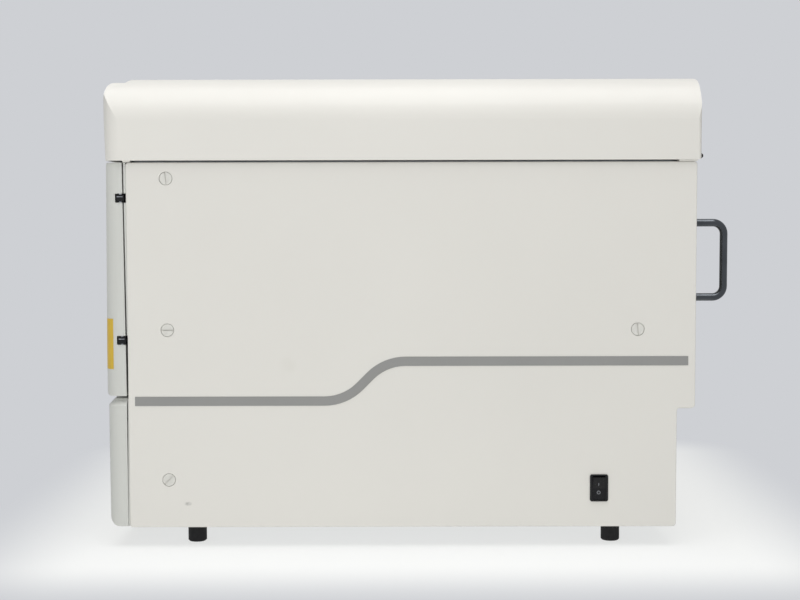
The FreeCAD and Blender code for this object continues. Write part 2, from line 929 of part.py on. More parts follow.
def latch(label, side, depth, height, angle):
    """Quarter-turn fastener: sunk slotted head, shank and a cross bar behind the chassis."""
    part = body(label)
    head = S.latch_head / 2
    shank = S.latch_shank / 2
    under = S.running_fit - S.latch_seat
    face = under + S.latch_head_height
    reach = half - chassis_inner + S.latch_bar_thick + S.latch_bar_gap
    turn(part, [
        (Size.of(0), -reach),
        (shank, -reach),
        (shank, under),
        (head, under),
        (head, face - S.latch_bevel),
        (head - S.latch_bevel, face),
        (Size.of(0), face),
    ])
    bar = S.latch_bar / 2
    grow(part, "top", -reach, S.latch_bar_thick,
         rectangle(-bar, -S.latch_bar_wide / 2, bar, S.latch_bar_wide / 2, S.latch_bar_thick / 2))
    slot = S.latch_slot / 2
    carve(part, "top", face - S.latch_slot_depth, S.latch_slot_depth,
          rectangle(-head, -slot, head, slot))
    outward = FreeCAD.Rotation(AXES["Y"], 90 if side > 0 else -90)
    spin = FreeCAD.Rotation(AXES["Z"], angle)
    place(part, side * half, front + depth, height, outward.multiply(spin))
    node(label, part)


# Front door and its hinge


def door_block(name, inset, low, high, corner):
    """Make the door's outer form, or its hollow, inset by the wall."""
    rear = S.door_core if float(inset) else Size.of(0)
    side = [
        (front + S.door_rear_bottom + rear, low),
        (front + S.door_rear_top + rear, high),
        (front + S.door_front_top + inset, high, S.door_edge_radius - inset * S.door_core_round),
        (front + S.door_front_bottom + inset, low, S.door_edge_radius * 2 - inset),
    ]
    wide = half - inset
    plan = [
        (-wide, front + S.cover_front + S.door_core),
        (-wide, front + inset, corner),
        (wide, front + inset, corner),
        (wide, front + S.cover_front + S.door_core),
    ]
    return overlap(name, [
        extruded(name + "_side", "side", -wide, wide * 2, side),
        extruded(name + "_plan", "top", low, high - low, plan),
    ])


hinge_x = half - S.hinge_inset
hinge_y = front + S.hinge_depth
hinge_heights = [S.upper_hinge, S.lower_hinge]
post_inner = half - S.door_wall - S.hinge_post


def front_door():
    """Moulded door shell with ribs, a hinge post notched for the knuckles and a strike boss."""
    wall = S.door_wall
    outer = door_block("door_outer", Size.of(0), S.door_bottom, S.cover_top, S.door_corner_radius)
    hollow = door_block("door_hollow", wall, S.door_bottom + wall, S.cover_top - wall,
                        S.door_corner_radius - wall)
    kept = [block("door_post", post_inner, front, S.door_bottom, half,
                  front + S.door_rear_top + S.tool_over, S.cover_top)]
    rear = front + S.door_front_top + wall + S.door_rib_depth
    for part_of in (1, 2, 3, 4):
        z = S.door_bottom + (S.cover_top - S.door_bottom) * part_of / 5
        kept.append(block("door_rib", -half, front, z, half, rear, z + S.door_rib))
    for part_of in (1, 2, 3):
        x = -half + S.case_width * part_of / 4
        kept.append(block("door_web", x, front, S.door_bottom, x + S.door_rib, rear, S.cover_top))
    kept.append(block("strike_boss", -magnet_outer, front, magnet_low, -magnet_inner, strike_front,
                      magnet_high))
    shell = cut("door_shell", outer, cut("door_hollow_ribbed", hollow, *kept))
    tools = []
    clear = S.knuckle_height / 2 + S.notch_clear
    notch_front = hinge_y - S.knuckle_depth / 2 - S.knuckle_clear
    for z in hinge_heights:
        tools.append(block("hinge_notch", post_inner, notch_front, z - clear,
                           half + S.door_wall, front + S.cover_front, z + clear))
        tools.append(rod("pin_hole", hinge_x, hinge_y, z - S.hinge_pin_length / 2, "Z",
                         S.hinge_pin / 2, S.hinge_pin_length))
    node("front_door", cut("front_door_body", shell, *tools))
    pins = [rod("hinge_pin", hinge_x, hinge_y, z - S.hinge_pin_length / 2, "Z", S.hinge_pin / 2,
                S.hinge_pin_length) for z in hinge_heights]
    node("door_hinge_pins", group("hinge_pins", pins))
    node("door_strike", block("strike_plate", -magnet_outer, strike_front, magnet_low,
                              -magnet_inner, strike_front + S.strike, magnet_high))


magnet_outer = chassis_outer - S.magnet_inset
magnet_inner = magnet_outer - S.magnet_size
magnet_low = S.magnet_height - S.magnet_size / 2
magnet_high = S.magnet_height + S.magnet_size / 2
strike_front = front + S.hinge_depth - S.strike_setback


def door_knuckles():
    """Fixed hinge knuckles: a block round each pin on a leaf that lies against the fascia."""
    back = front + fascia_front
    knuckles = []
    for z in hinge_heights:
        part = body("hinge_knuckle")
        near = hinge_y - S.knuckle_depth / 2
        far = hinge_y + S.knuckle_depth / 2 - S.knuckle_gap
        outer = half + S.knuckle_proud
        inner = outer - S.knuckle_width
        edge = chassis_outer
        low = z - S.knuckle_height / 2
        grow(part, "top", low, S.knuckle_height, [
            (outer, near, S.knuckle_nose),
            (outer, far),
            (edge, far),
            (edge, back),
            (edge - S.hinge_foot, back),
            (edge - S.hinge_foot, back - S.hinge_leaf),
            (edge - S.hinge_web, back - S.hinge_leaf),
            (inner, hinge_y + S.knuckle_relief),
            (inner, near, S.knuckle_round),
        ])
        grow(part, "front", back - S.hinge_leaf, S.hinge_leaf, rectangle(
            edge - S.hinge_foot, z - S.hinge_foot_height / 2,
            edge - S.hinge_foot_inset, z + S.hinge_foot_height / 2, S.hinge_foot_round))
        carve(part, "top", low, S.knuckle_height,
              (hinge_x, hinge_y, S.hinge_pin / 2 + S.running_fit))
        knuckles.append(part)
    node("door_hinge_knuckles", group("hinge_knuckles", knuckles))


def door_magnet():
    """Magnet housing that holds the door's strike plate."""
    part = body("magnet")
    start = strike_front + S.strike + S.strike_gap
    grow(part, "front", start, front + fascia_front - start,
         rectangle(-magnet_outer, magnet_low, -magnet_inner, magnet_high, S.magnet_round))
    node("door_magnet", part)


def lower_front_panel():
    """Moulded lower panel with rounded corners, its top edge bevelled all round for the fingers."""
    def form(name, inset, rear):
        low = S.panel_bottom + inset
        lip = S.panel_lip - inset
        wide = half - inset
        corner = S.door_corner_radius - inset
        side = [
            (rear, low),
            (front + S.panel_lean + inset, low, S.panel_foot_radius - inset),
            (front + S.panel_brow + inset, lip),
            (rear, lip),
        ]
        plan = extruded(name + "_plan", "top", low, lip - low, [
            (-wide, rear),
            (-wide, front + S.panel_brow + inset, corner),
            (wide, front + S.panel_brow + inset, corner),
            (wide, rear),
        ])
        soften(plan, "Chamfer", S.panel_bevel,
               lambda edge: is_at(edge, "z", lip) and not is_at(edge, "y", rear))
        return overlap(name, [extruded(name + "_side", "side", -wide, wide * 2, side), plan])

    wall = S.door_wall
    outer = form("panel_outer", Size.of(0), front + S.cover_front - S.panel_gap)
    hollow = form("panel_hollow", wall, front + S.cover_front)
    shell = cut("panel_shell", outer, hollow)
    tabs = []
    for side in (-1, 1):
        for z in (S.panel_bottom + S.panel_tab * 2, S.panel_lip - S.panel_tab * 3):
            far = side * (chassis_outer - S.panel_gap)
            near = far - side * S.panel_tab
            low, high = (near, far) if side > 0 else (far, near)
            tabs.append(block("panel_tab", low, front + S.panel_lean + wall / 2, z,
                              high, front + chassis_front, z + S.panel_tab))
    node("lower_front_panel", join("lower_panel", [shell] + tabs))


def inner_fascia():
    """Sheet behind the door with an opening for each plate magazine."""
    part = body("fascia")
    grow(part, "front", front + fascia_front, chassis_front - fascia_front,
         rectangle(S.fascia_gap - chassis_outer, S.deck_top + S.fascia_foot,
                   chassis_outer - S.fascia_gap, S.cover_top - S.fascia_head))
    wide = S.plate_width / 2 + S.ring_rim + S.fascia_clear
    sill = S.deck_top + S.fascia_sill
    crest = bridge_top + S.magazine_height + S.fascia_crest
    windows = [rectangle(x - wide, sill, x + wide, crest, S.fascia_round)
               for x in (bays["input"], bays["output"])]
    carve(part, "front", front + fascia_front, chassis_front - fascia_front, *windows)
    node("inner_fascia", part)


# Chassis, base and rear


def chassis_side(label, side):
    """Folded sheet side with flanges all round, windows, and holes for the fasteners."""
    low = chassis_outer - S.chassis_flange if side > 0 else -chassis_outer
    hollow = low if side > 0 else low + S.sheet
    depth = S.chassis_flange - S.sheet
    part = body(label)
    edge = S.chassis_setback

    def outline(inset):
        return [
            (front + S.cover_front + inset, pan_top + inset - edge),
            (front + S.cover_rear - S.recess_depth - S.sheet - inset + edge, pan_top + inset - edge),
            (front + S.cover_rear - S.recess_depth - S.sheet - inset + edge,
             S.recess_height + inset - edge),
            (front + S.cover_rear - S.sheet - inset + edge, S.recess_height + inset - edge),
            (front + S.cover_rear - S.sheet - inset + edge, lid_bottom - inset + edge),
            (front + S.cover_front + inset, lid_bottom - inset + edge),
        ]

    grow(part, "side", low, S.chassis_flange, outline(edge))
    carve(part, "side", hollow, depth, outline(edge + S.sheet))
    web = low + depth if side > 0 else low
    spacing = (S.cover_rear - S.cover_front) / 5
    low_row = (pan_top + deck_bottom - S.chassis_flange) / 2
    high_row = (S.deck_top + lid_bottom) / 2
    for column, z in [(1, low_row), (2, low_row), (3, low_row)] + [(k, high_row) for k in (1, 2, 3, 4)]:
        y = front + S.cover_front + spacing * column
        carve(part, "side", web, S.sheet,
              rectangle(y - S.window_width / 2, z - S.window_height / 2,
                        y + S.window_width / 2, z + S.window_height / 2, S.window_corner))
    bore = S.latch_shank / 2 + S.running_fit
    carve(part, "side", web, S.sheet, *[(front + d, z, bore) for _, d, z in latch_points()])
    if side > 0:
        carve(part, "side", web, S.sheet, switch_window(S.rocker_gap))
    node(label, part)


def base_pan():
    """Folded base sheet with a row of intake slots."""
    part = body("base")
    wide = chassis_outer
    near = front + chassis_front
    far = front + S.cover_rear - S.recess_depth - S.sheet
    grow(part, "top", S.cover_bottom, S.pan_sheet, rectangle(-wide, near, wide, far))
    start = near + S.intake_depth
    slot = carve(part, "top", S.cover_bottom, S.pan_sheet,
                 rectangle(-S.intake_half, start, S.intake_half, start + S.intake_slot,
                           S.intake_round))
    repeat(part, slot, "Y", S.intake_pitch, SIZES["intake_count"])
    node("base_pan", part)


def feet():
    """Four rubber feet with a bevelled sole."""
    pieces = []
    for side in (-1, 1):
        for depth in (S.foot_front, S.foot_rear):
            part = body("foot")
            radius = S.foot_diameter / 2
            turn(part, [
                (Size.of(0), Size.of(0)),
                (radius - S.foot_bevel, Size.of(0)),
                (radius, S.foot_bevel),
                (radius, S.cover_bottom),
                (Size.of(0), S.cover_bottom),
            ])
            place(part, side * (half - S.foot_inset), front + depth, 0)
            pieces.append(part)
    node("feet", group("foot_set", pieces))


def rear_panel():
    """Stepped rear sheet with the fan grille and the cut-outs for inlet and data sockets."""
    part = body("rear_sheet")
    rear = front + S.cover_rear
    step = rear - S.recess_depth
    wide = chassis_outer
    grow(part, "side", -wide, wide * 2, [
        (step - S.sheet, pan_top),
        (step, pan_top),
        (step, S.recess_height - S.sheet),
        (rear, S.recess_height - S.sheet),
        (rear, lid_bottom - S.rear_head_gap),
        (rear - S.sheet, lid_bottom - S.rear_head_gap),
        (rear - S.sheet, S.recess_height),
        (step - S.sheet, S.recess_height),
    ])
    for row in range(-5, 6):
        aside = S.grille_slot * 2 * row
        x = fan_x + aside
        chord = math.sqrt(1 - (2 * float(aside) / float(S.fan_bore)) ** 2)
        reach = S.fan_bore / 2 * S.grille_fill * chord
        carve(part, "front", rear - S.sheet, S.sheet,
              rectangle(x - S.grille_slot / 2, S.fan_height - reach,
                        x + S.grille_slot / 2, S.fan_height + reach, S.grille_slot * S.grille_round))
    openings = [rectangle(inlet_x - S.inlet_width / 2, S.inlet_level - S.inlet_height / 2,
                          inlet_x + S.inlet_width / 2, S.inlet_level + S.inlet_height / 2)]
    for x in port_x:
        openings.append(rectangle(x - S.port_width / 2, S.port_level - S.port_height / 2,
                                  x + S.port_width / 2, S.port_level + S.port_height / 2))
    carve(part, "front", step - S.sheet, S.sheet, *openings)
    holes = [(x, z, screw_shank) for x, z in panel_screws]
    carve(part, "front", rear - S.sheet, S.sheet, *holes)
    node("rear_panel", part)


port_x = [-S.port_offset, -S.port_offset + S.port_pitch, -S.port_offset + S.port_pitch * 2]
panel_screws = [(side * (chassis_outer - S.chassis_flange / 2), z)
                for side in (-1, 1)
                for z in (S.recess_height + S.panel_screw_inset,
                          lid_bottom - S.panel_screw_inset)]


def case_screws():
    """Button-head screws that hold the top cover and the rear panel."""
    pieces = []
    spots = [(x, lid_rear, lid_screw_z, S.lid_wall) for x in lid_screw_x]
    spots += [(x, front + S.cover_rear, z, S.sheet) for x, z in panel_screws]
    head = S.case_screw_head / 2
    drive = S.case_screw / 4
    for x, y, z, grip in spots:
        part = body("case_screw")
        turn(part, [
            (Size.of(0), -grip),
            (screw_shank, -grip),
            (screw_shank, Size.of(0)),
            (head, Size.of(0)),
            (head, S.case_screw_rise / 2),
            (head / 2, S.case_screw_rise),
            (Size.of(0), S.case_screw_rise),
        ])
        carve(part, "top", S.case_screw_rise / 2, S.case_screw_rise / 2,
              rectangle(-drive, -drive, drive, drive))
        place(part, x, y, z, ALONG["Y"])
        pieces.append(part)
    node("case_screws", group("screws", pieces))


def rear_handles():
    """Two bent steel rods that stand off the rear panel."""
    pieces = []
    rear = front + S.cover_rear
    for side in (-1, 1):
        part = body("handle")
        x = side * (half - S.handle_inset)
        axis_y = rear + S.handle_reach - S.handle_rod / 2
        bend = S.handle_bend
        spine = part.newObject("Sketcher::SketchObject", "handle_spine")
        spine.AttachmentSupport = [(origin_feature(part, "YZ_Plane"), "")]
        spine.MapMode = "FlatFace"
        spine.setExpression("AttachmentOffset.Base.z", x.text)
        low, high = S.handle_low, S.handle_high
        points = [(rear, low), (axis_y - bend, low), (axis_y, low + bend),
                  (axis_y, high - bend), (axis_y - bend, high), (rear, high)]
        bulge = bend * (1 - math.sqrt(0.5))
        vectors = [FreeCAD.Vector(float(a), float(b), 0) for a, b in points]
        spine.addGeometry(Part.LineSegment(vectors[0], vectors[1]), False)
        corner = FreeCAD.Vector(float(axis_y - bulge), float(low + bulge), 0)
        spine.addGeometry(Part.Arc(vectors[1], corner, vectors[2]), False)
        spine.addGeometry(Part.LineSegment(vectors[2], vectors[3]), False)
        corner = FreeCAD.Vector(float(axis_y - bulge), float(high - bulge), 0)
        spine.addGeometry(Part.Arc(vectors[3], corner, vectors[4]), False)
        spine.addGeometry(Part.LineSegment(vectors[4], vectors[5]), False)
        for here in range(4):
            spine.addConstraint(Sketcher.Constraint("Coincident", here, 2, here + 1, 1))
        for here, (a, b) in enumerate(points[1:]):
            tie(spine, Sketcher.Constraint("DistanceX", -1, 1, here, 2, float(a)), a)
            tie(spine, Sketcher.Constraint("DistanceY", -1, 1, here, 2, float(b)), b)
        tie(spine, Sketcher.Constraint("DistanceX", -1, 1, 0, 1, float(rear)), rear)
        tie(spine, Sketcher.Constraint("DistanceY", -1, 1, 0, 1, float(low)), low)
        for here in (1, 3):
            tie(spine, Sketcher.Constraint("Radius", here, float(bend)), bend)
        section = sketch_on(part, "front", rear, [(x, low, S.handle_rod / 2)])
        pipe = part.newObject("PartDesign::AdditivePipe", "handle_rod_sweep")
        pipe.Profile = section
        pipe.Spine = (spine, ["Edge%d" % number for number in range(1, 6)])
        doc.recompute()
        grow(part, "front", rear, S.handle_collar_thick,
             (x, low, S.handle_collar / 2), (x, high, S.handle_collar / 2))
        pieces.append(part)
    node("rear_handles", group("handles", pieces))


def exhaust_fan():
    """Fan frame with four spokes that carry the shaft of a seven-blade rotor."""
    rear = front + S.cover_rear - S.sheet
    side = S.fan_size / 2
    frame = body("fan_frame")
    grow(frame, "top", 0, S.fan_depth, rectangle(-side, -side, side, side, S.fan_corner))
    carve(frame, "top", 0, S.fan_depth, (0, 0, S.fan_bore / 2))
    spoke = S.fan_spoke / 2
    reach = S.fan_bore / 2 + S.tool_over
    thick = S.fan_spoke_thick
    grow(frame, "top", 0, thick, rectangle(-reach, -spoke, reach, spoke))
    grow(frame, "top", 0, thick, rectangle(-spoke, -reach, spoke, reach))
    grow(frame, "top", 0, thick, (0, 0, S.fan_hub / 2))
    carve(frame, "top", 0, thick, (0, 0, S.fan_shaft / 2 + S.running_fit))
    inward = FreeCAD.Rotation(AXES["X"], -90)
    place(frame, fan_x, rear - S.fan_depth, S.fan_height, inward)
    node("exhaust_fan_frame", frame)

    rotor = body("fan_rotor")
    hub = S.fan_hub / 2
    turn(rotor, [
        (Size.of(0), Size.of(0)),
        (S.fan_shaft / 2, Size.of(0)),
        (S.fan_shaft / 2, thick + S.fan_running_gap),
        (hub, thick + S.fan_running_gap),
        (hub, S.fan_depth - S.fan_hub_sink - S.fan_hub_bevel),
        (hub - S.fan_hub_cone, S.fan_depth - S.fan_hub_sink),
        (Size.of(0), S.fan_depth - S.fan_hub_sink),
    ])
    tip = S.fan_bore / 2 - S.fan_tip_gap
    root = blade_section(rotor, hub - S.blade_root, S.blade_root_pitch, S.blade_root_reach)
    end = blade_section(rotor, tip, S.blade_tip_pitch, S.blade_tip_reach)
    blade = rotor.newObject("PartDesign::AdditiveLoft", "fan_blade")
    blade.Profile = root
    blade.Sections = [end]
    doc.recompute()
    spin_copies(rotor, blade, SIZES["fan_blades"])
    place(rotor, fan_x, rear - S.fan_depth, S.fan_height, inward)
    node("exhaust_fan_rotor", rotor)


def blade_section(rotor, radius, pitch, reach):
    """Draw one end of a fan blade, a thin slanted strip, at a radius from the shaft."""
    middle = S.fan_depth / 2 + S.blade_rise
    lean = math.radians(float(pitch))
    along = (math.cos(lean) * reach, math.sin(lean) * reach)
    across = (-math.sin(lean) * S.blade_half_thick, math.cos(lean) * S.blade_half_thick)
    corners = []
    for a, b in ((-1, -1), (1, -1), (1, 1), (-1, 1)):
        corners.append((a * along[0] + b * across[0], middle + (a * along[1] + b * across[1])))
    return sketch_on(rotor, "side", radius, [corners])


def socket_shell(part, x, z, wide, tall, flange, flange_thick, long, wall, floor):
    """Make a flanged socket shell, open to the rear, in the recessed part of the rear panel."""
    face = front + S.cover_rear - S.recess_depth
    half_wide = wide / 2 - S.socket_fit
    half_tall = tall / 2 - S.socket_fit
    grow(part, "front", face, flange_thick,
         rectangle(x - wide / 2 - flange, z - tall / 2 - S.socket_rim,
                   x + wide / 2 + flange, z + tall / 2 + S.socket_rim, S.socket_round))
    grow(part, "front", face - long, long,
         rectangle(x - half_wide, z - half_tall, x + half_wide, z + half_tall))
    carve(part, "front", face - long + floor, long - floor + flange_thick,
          rectangle(x - half_wide + wall, z - half_tall + wall,
                    x + half_wide - wall, z + half_tall - wall))


def rear_sockets():
    """Mains inlet and three data sockets in the recessed part of the rear panel."""
    face = front + S.cover_rear - S.recess_depth
    inlet = body("inlet")
    x = inlet_x
    z = S.inlet_level
    floor = S.inlet_long - S.inlet_pin_long
    socket_shell(inlet, x, z, S.inlet_width, S.inlet_height, S.inlet_ear, S.inlet_flange,
                 S.inlet_long, S.inlet_wall, floor)
    wide = S.inlet_pin / 4
    tall = S.inlet_pin / 2
    for pin_x, pin_z in ((x - S.inlet_pin_pitch, z - tall), (x, z + tall), (x + S.inlet_pin_pitch, z - tall)):
        grow(inlet, "front", face - S.inlet_pin_long, S.inlet_pin_long - S.inlet_flange,
             rectangle(pin_x - wide, pin_z - tall, pin_x + wide, pin_z + tall))
    node("power_inlet", inlet)
    sockets = []
    for x in port_x:
        socket = body("data_socket")
        socket_shell(socket, x, S.port_level, S.port_width, S.port_height, S.socket_rim, S.port_flange,
                     S.port_long, S.port_wall, S.port_floor)
        sockets.append(socket)
    node("data_ports", group("data_sockets", sockets))


def power_switch():
    """Switch housing in the right side cover, and the rocker that tips in it."""
    x = half
    y = front + S.switch_depth
    z = S.switch_height
    wide = S.switch_wide / 2
    tall = S.switch_tall / 2
    rim = S.switch_rim
    housing = body("switch_shell")
    grow(housing, "side", x, S.switch_lip,
         rectangle(y - wide, z - tall, y + wide, z + tall, S.switch_corner))
    inner_wide = wide - rim
    inner_tall = tall - rim
    grow(housing, "side", x - S.switch_body, S.switch_body,
         rectangle(y - inner_wide, z - inner_tall, y + inner_wide, z + inner_tall))
    well_wide = inner_wide - S.switch_side
    well_tall = inner_tall - S.switch_end
    well = S.switch_body - S.switch_floor + S.switch_lip
    carve(housing, "side", x + S.switch_lip - well, well,
          rectangle(y - well_wide, z - well_tall, y + well_wide, z + well_tall))
    pivot_x = x + S.switch_lip - S.rocker_pivot
    bore = S.rocker_pin / 2 + S.running_fit
    carve(housing, "front", y - inner_wide, inner_wide * 2, (pivot_x, z, bore))
    node("switch_housing", housing)

    rocker = body("rocker")
    reach = well_tall - S.rocker_end_gap
    half_angle = float(S.rocker_angle) / 2
    rise = reach * math.tan(math.radians(half_angle))
    flat = well_wide - S.rocker_gap
    grow(rocker, "front", -flat, flat * 2, [
        (S.rocker_pivot, Size.of(0)),
        (S.rocker_pivot + rise, reach),
        (-S.rocker_pivot * 0.6, reach * 0.88),
        (-S.rocker_pivot * 2, reach * 0.35),
        (-S.rocker_pivot * 2, -reach * 0.35),
        (-S.rocker_pivot * 0.6, -reach * 0.88),
        (S.rocker_pivot + rise, -reach),
    ])
    pin = inner_wide - S.rocker_pin_gap
    grow(rocker, "front", -pin, pin * 2, (0, 0, S.rocker_pin / 2))
    tilt = FreeCAD.Rotation(AXES["Y"], half_angle)
    place(rocker, pivot_x, y, z, tilt)
    node("power_rocker", rocker)


# Deck, bridge and magazines


def deck_plate():
    """Thick deck with folded-down edges, a window under each bay and the idler's post."""
    part = body("deck")
    wide = chassis_inner
    near = front + chassis_front + S.deck_gap
    far = front + S.cover_rear - S.recess_depth - S.sheet - S.deck_gap
    grow(part, "top", deck_bottom, S.deck_thick, rectangle(-wide, near, wide, far))
    for low in (-wide, wide - S.sheet):
        grow(part, "top", deck_bottom - S.chassis_flange, S.chassis_flange,
             rectangle(low, near, low + S.sheet, far))
    windows = [rectangle(x - S.deck_window_wide / 2, bay_y - S.deck_window_long / 2,
                         x + S.deck_window_wide / 2, bay_y + S.deck_window_long / 2, S.window_round)
               for x in bays.values()]
    windows.append((pulley_x, pulley_y, S.motor_shaft / 2 + S.shaft_clear))
    hole_y = far - S.window_height
    windows.append(rectangle(-S.window_width / 2, hole_y - S.window_height / 2,
                             S.window_width / 2, hole_y + S.window_height / 2, S.window_corner))
    carve(part, "top", deck_bottom, S.deck_thick, *windows)
    grow(part, "top", S.deck_top, S.belt_level + S.belt_width,
         (-pulley_x, pulley_y, S.idler_post / 2))
    node("deck_plate", part)


def bridge_plate():
    """Plate above the shuttle that carries the magazines and the optics housing."""
    part = body("bridge")
    wide = rail_end - S.bridge_inset
    near = front + chassis_front + S.sheet + S.bridge_gap
    grow(part, "top", bridge_bottom, S.bridge_thick,
         rectangle(-wide, near, wide, front + S.rear_pillar + S.pillar))
    play = S.plate_play
    openings = [rectangle(x - S.plate_width / 2 - play, bay_y - S.plate_length / 2 - play,
                          x + S.plate_width / 2 + play, bay_y + S.plate_length / 2 + play)
                for x in bays.values()]
    carve(part, "top", bridge_bottom, S.bridge_thick, *openings)
    node("bridge_plate", part)
    pillars = []
    outer = wide - S.pillar
    inner = outer * S.pillar_share
    for spot in (-outer, -inner, inner, outer):
        for y in (bay_y - S.pillar_spread, front + S.rear_pillar):
            pillars.append(rod("pillar", spot, y, S.deck_top, "Z", S.pillar / 2, S.bridge_rise))
    node("bridge_pillars", group("pillars", pillars))


def magazine(label, x):
    """Plate magazine: base ring, four corner posts of angle section and a top ring."""
    part = body(label)
    play = S.plate_play
    wide = S.plate_width / 2 + play
    long = S.plate_length / 2 + play
    rim = S.ring_rim
    outer = rectangle(x - wide - rim, bay_y - long - rim, x + wide + rim, bay_y + long + rim,
                      S.ring_round)
    inner = rectangle(x - wide, bay_y - long, x + wide, bay_y + long)
    grow(part, "top", bridge_top, S.magazine_height, outer)
    carve(part, "top", bridge_top, S.magazine_height, inner)
    tall = S.magazine_height - S.ring_thick * 2
    leg = S.post_leg - S.post_wall
    base = bridge_top + S.ring_thick
    over = S.tool_over
    past = rim + over
    carve(part, "top", base, tall,
          rectangle(x - wide - past, bay_y - long + leg, x + wide + past, bay_y + long - leg))
    carve(part, "top", base, tall,
          rectangle(x - wide + leg, bay_y - long - past, x + wide - leg, bay_y + long + past))
    wall = S.post_wall
    for sx in (-1, 1):
        for sy in (-1, 1):
            corner = [
                (x + sx * (wide + wall), bay_y + sy * (long - leg - over)),
                (x + sx * (wide + past), bay_y + sy * (long - leg - over)),
                (x + sx * (wide + past), bay_y + sy * (long + past)),
                (x + sx * (wide - leg - over), bay_y + sy * (long + past)),
                (x + sx * (wide - leg - over), bay_y + sy * (long + wall)),
                (x + sx * (wide + wall), bay_y + sy * (long + wall)),
            ]
            carve(part, "top", base, tall, corner)
    node(label, part)


# Shuttle and drive


def rails():
    """Two round rails along X, held in four end blocks on the deck."""
    reach = rail_end
    waist = S.rail * S.rail_block_waist
    crown = rail_z + S.rail * S.rail_block_crown
    bars = []
    blocks = []
    for spread in (-S.rail_spread, S.rail_spread):
        y = bay_y + spread
        bars.append(rod("rail", -reach, y, rail_z, "X", S.rail / 2, reach * 2))
        for start in (-reach, reach - S.rail_block):
            part = body("rail_block")
            grow(part, "side", start, S.rail_block, [
                (y - S.rail, S.deck_top),
                (y + S.rail, S.deck_top),
                (y + waist, crown, S.rail_block_round),
                (y - waist, crown, S.rail_block_round),
            ])
            carve(part, "side", start, S.rail_block, (y, rail_z, S.rail / 2))
            blocks.append(part)
    node("shuttle_rails", group("rail_pair", bars))
    node("rail_blocks", group("rail_block_set", blocks))


def plate_shuttle():
    """Nest for one plate on four bushes, with corner locators and a clamp on the drive belt."""
    part = body("shuttle")
    wide = S.shuttle_half
    long = S.shuttle_long
    grow(part, "top", nest_bottom, S.shuttle_floor,
         rectangle(-wide, bay_y - long, wide, bay_y + long, S.shuttle_round))
    carve(part, "top", nest_bottom, S.shuttle_floor,
          rectangle(-S.deck_window_wide / 2, bay_y - S.deck_window_long / 2,
                    S.deck_window_wide / 2, bay_y + S.deck_window_long / 2, S.window_round))
    bush = S.rail * S.bush_waist
    drop = S.rail * S.bush_drop
    for spread in (-S.rail_spread, S.rail_spread):
        y = bay_y + spread
        for start in (-wide, wide - S.rail * 2):
            grow(part, "side", start, S.rail * 2,
                 rectangle(y - bush, rail_z - drop, y + bush, nest_bottom + S.tool_over, S.bush_round))
        carve(part, "side", -wide, wide * 2, (y, rail_z, S.rail / 2 + S.running_fit))
    play = S.plate_play
    inner_x = S.plate_width / 2 + play
    inner_y = S.plate_length / 2 + play
    leg = S.nest_leg
    wall = S.nest_wall
    for sx in (-1, 1):
        for sy in (-1, 1):
            grow(part, "top", nest_top, S.nest_rim, [
                (sx * inner_x, bay_y + sy * (inner_y - leg)),
                (sx * (inner_x + wall), bay_y + sy * (inner_y - leg)),
                (sx * (inner_x + wall), bay_y + sy * (inner_y + wall)),
                (sx * (inner_x - leg), bay_y + sy * (inner_y + wall)),
                (sx * (inner_x - leg), bay_y + sy * inner_y),
                (sx * inner_x, bay_y + sy * inner_y),
            ])
    run = pulley_y - belt_inner
    jaw = S.jaw_half
    root = bay_y + long - S.jaw_root
    tip = run + S.belt_fit + S.jaw
    slot = S.belt_width + S.belt_fit
    grow(part, "top", belt_z, nest_top - belt_z,
         rectangle(-jaw, root, jaw, run - S.belt_thick - S.belt_fit))
    grow(part, "top", belt_z + slot, nest_top - belt_z - slot, rectangle(-jaw, root, jaw, tip))
    grow(part, "top", belt_z, slot, rectangle(-jaw, run + S.belt_fit, jaw, tip))
    node("plate_shuttle", part)


# A half round keeps a hair of straight, so that its outline has no side of zero length.
NEARLY = 0.99999


def drive():
    """Toothed belt round a driven and an idling pulley, with the motor under the deck."""
    belt = body("belt")

    def loop(radius):
        reach = pulley_x + radius
        return rectangle(-reach, pulley_y - radius, reach, pulley_y + radius, radius * NEARLY)

    grow(belt, "top", belt_z, S.belt_width, loop(belt_inner + S.belt_thick))
    carve(belt, "top", belt_z, S.belt_width, loop(belt_inner))
    node("drive_belt", belt)
    for label, x in (("drive_pulley", pulley_x), ("idler_pulley", -pulley_x)):
        pulley = body(label)
        rim = S.pulley_radius
        low = -S.belt_fit
        high = S.belt_width + S.belt_fit
        shaft = S.motor_shaft / 2
        start = Size.of(0) if label == "drive_pulley" else S.idler_post / 2 + S.running_fit
        hub = rim / 2
        outline = [
            (start, low),
            (rim, low),
            (rim, high),
            (hub, high),
            (hub, high + S.pulley_hub),
            (start, high + S.pulley_hub),
        ]
        if label == "drive_pulley":
            drop = deck_bottom - S.shaft_grip - belt_z
            outline = [(start, drop), (shaft, drop), (shaft, low)] + outline[1:]
        turn(pulley, outline)
        tooth = S.tooth_depth
        groove = carve(pulley, "top", low, high - low, [
            (rim - tooth, -tooth * S.tooth_root),
            (rim + tooth, -tooth * S.tooth_tip),
            (rim + tooth, tooth * S.tooth_tip),
            (rim - tooth, tooth * S.tooth_root),
        ])
        spin_copies(pulley, groove, SIZES["pulley_teeth"])
        place(pulley, x, pulley_y, belt_z)
        node(label, pulley)
    motor = body("motor")
    side = S.motor_size / 2
    x = pulley_x
    grow(motor, "top", deck_bottom - S.motor_long, S.motor_long,
         rectangle(x - side, pulley_y - side, x + side, pulley_y + side, S.motor_round))
    bore = S.motor_shaft / 2 + S.running_fit
    deep = S.shaft_grip + S.shaft_end
    carve(motor, "top", deck_bottom - deep, deep, (x, pulley_y, bore))
    node("drive_motor", motor)


# Lifts


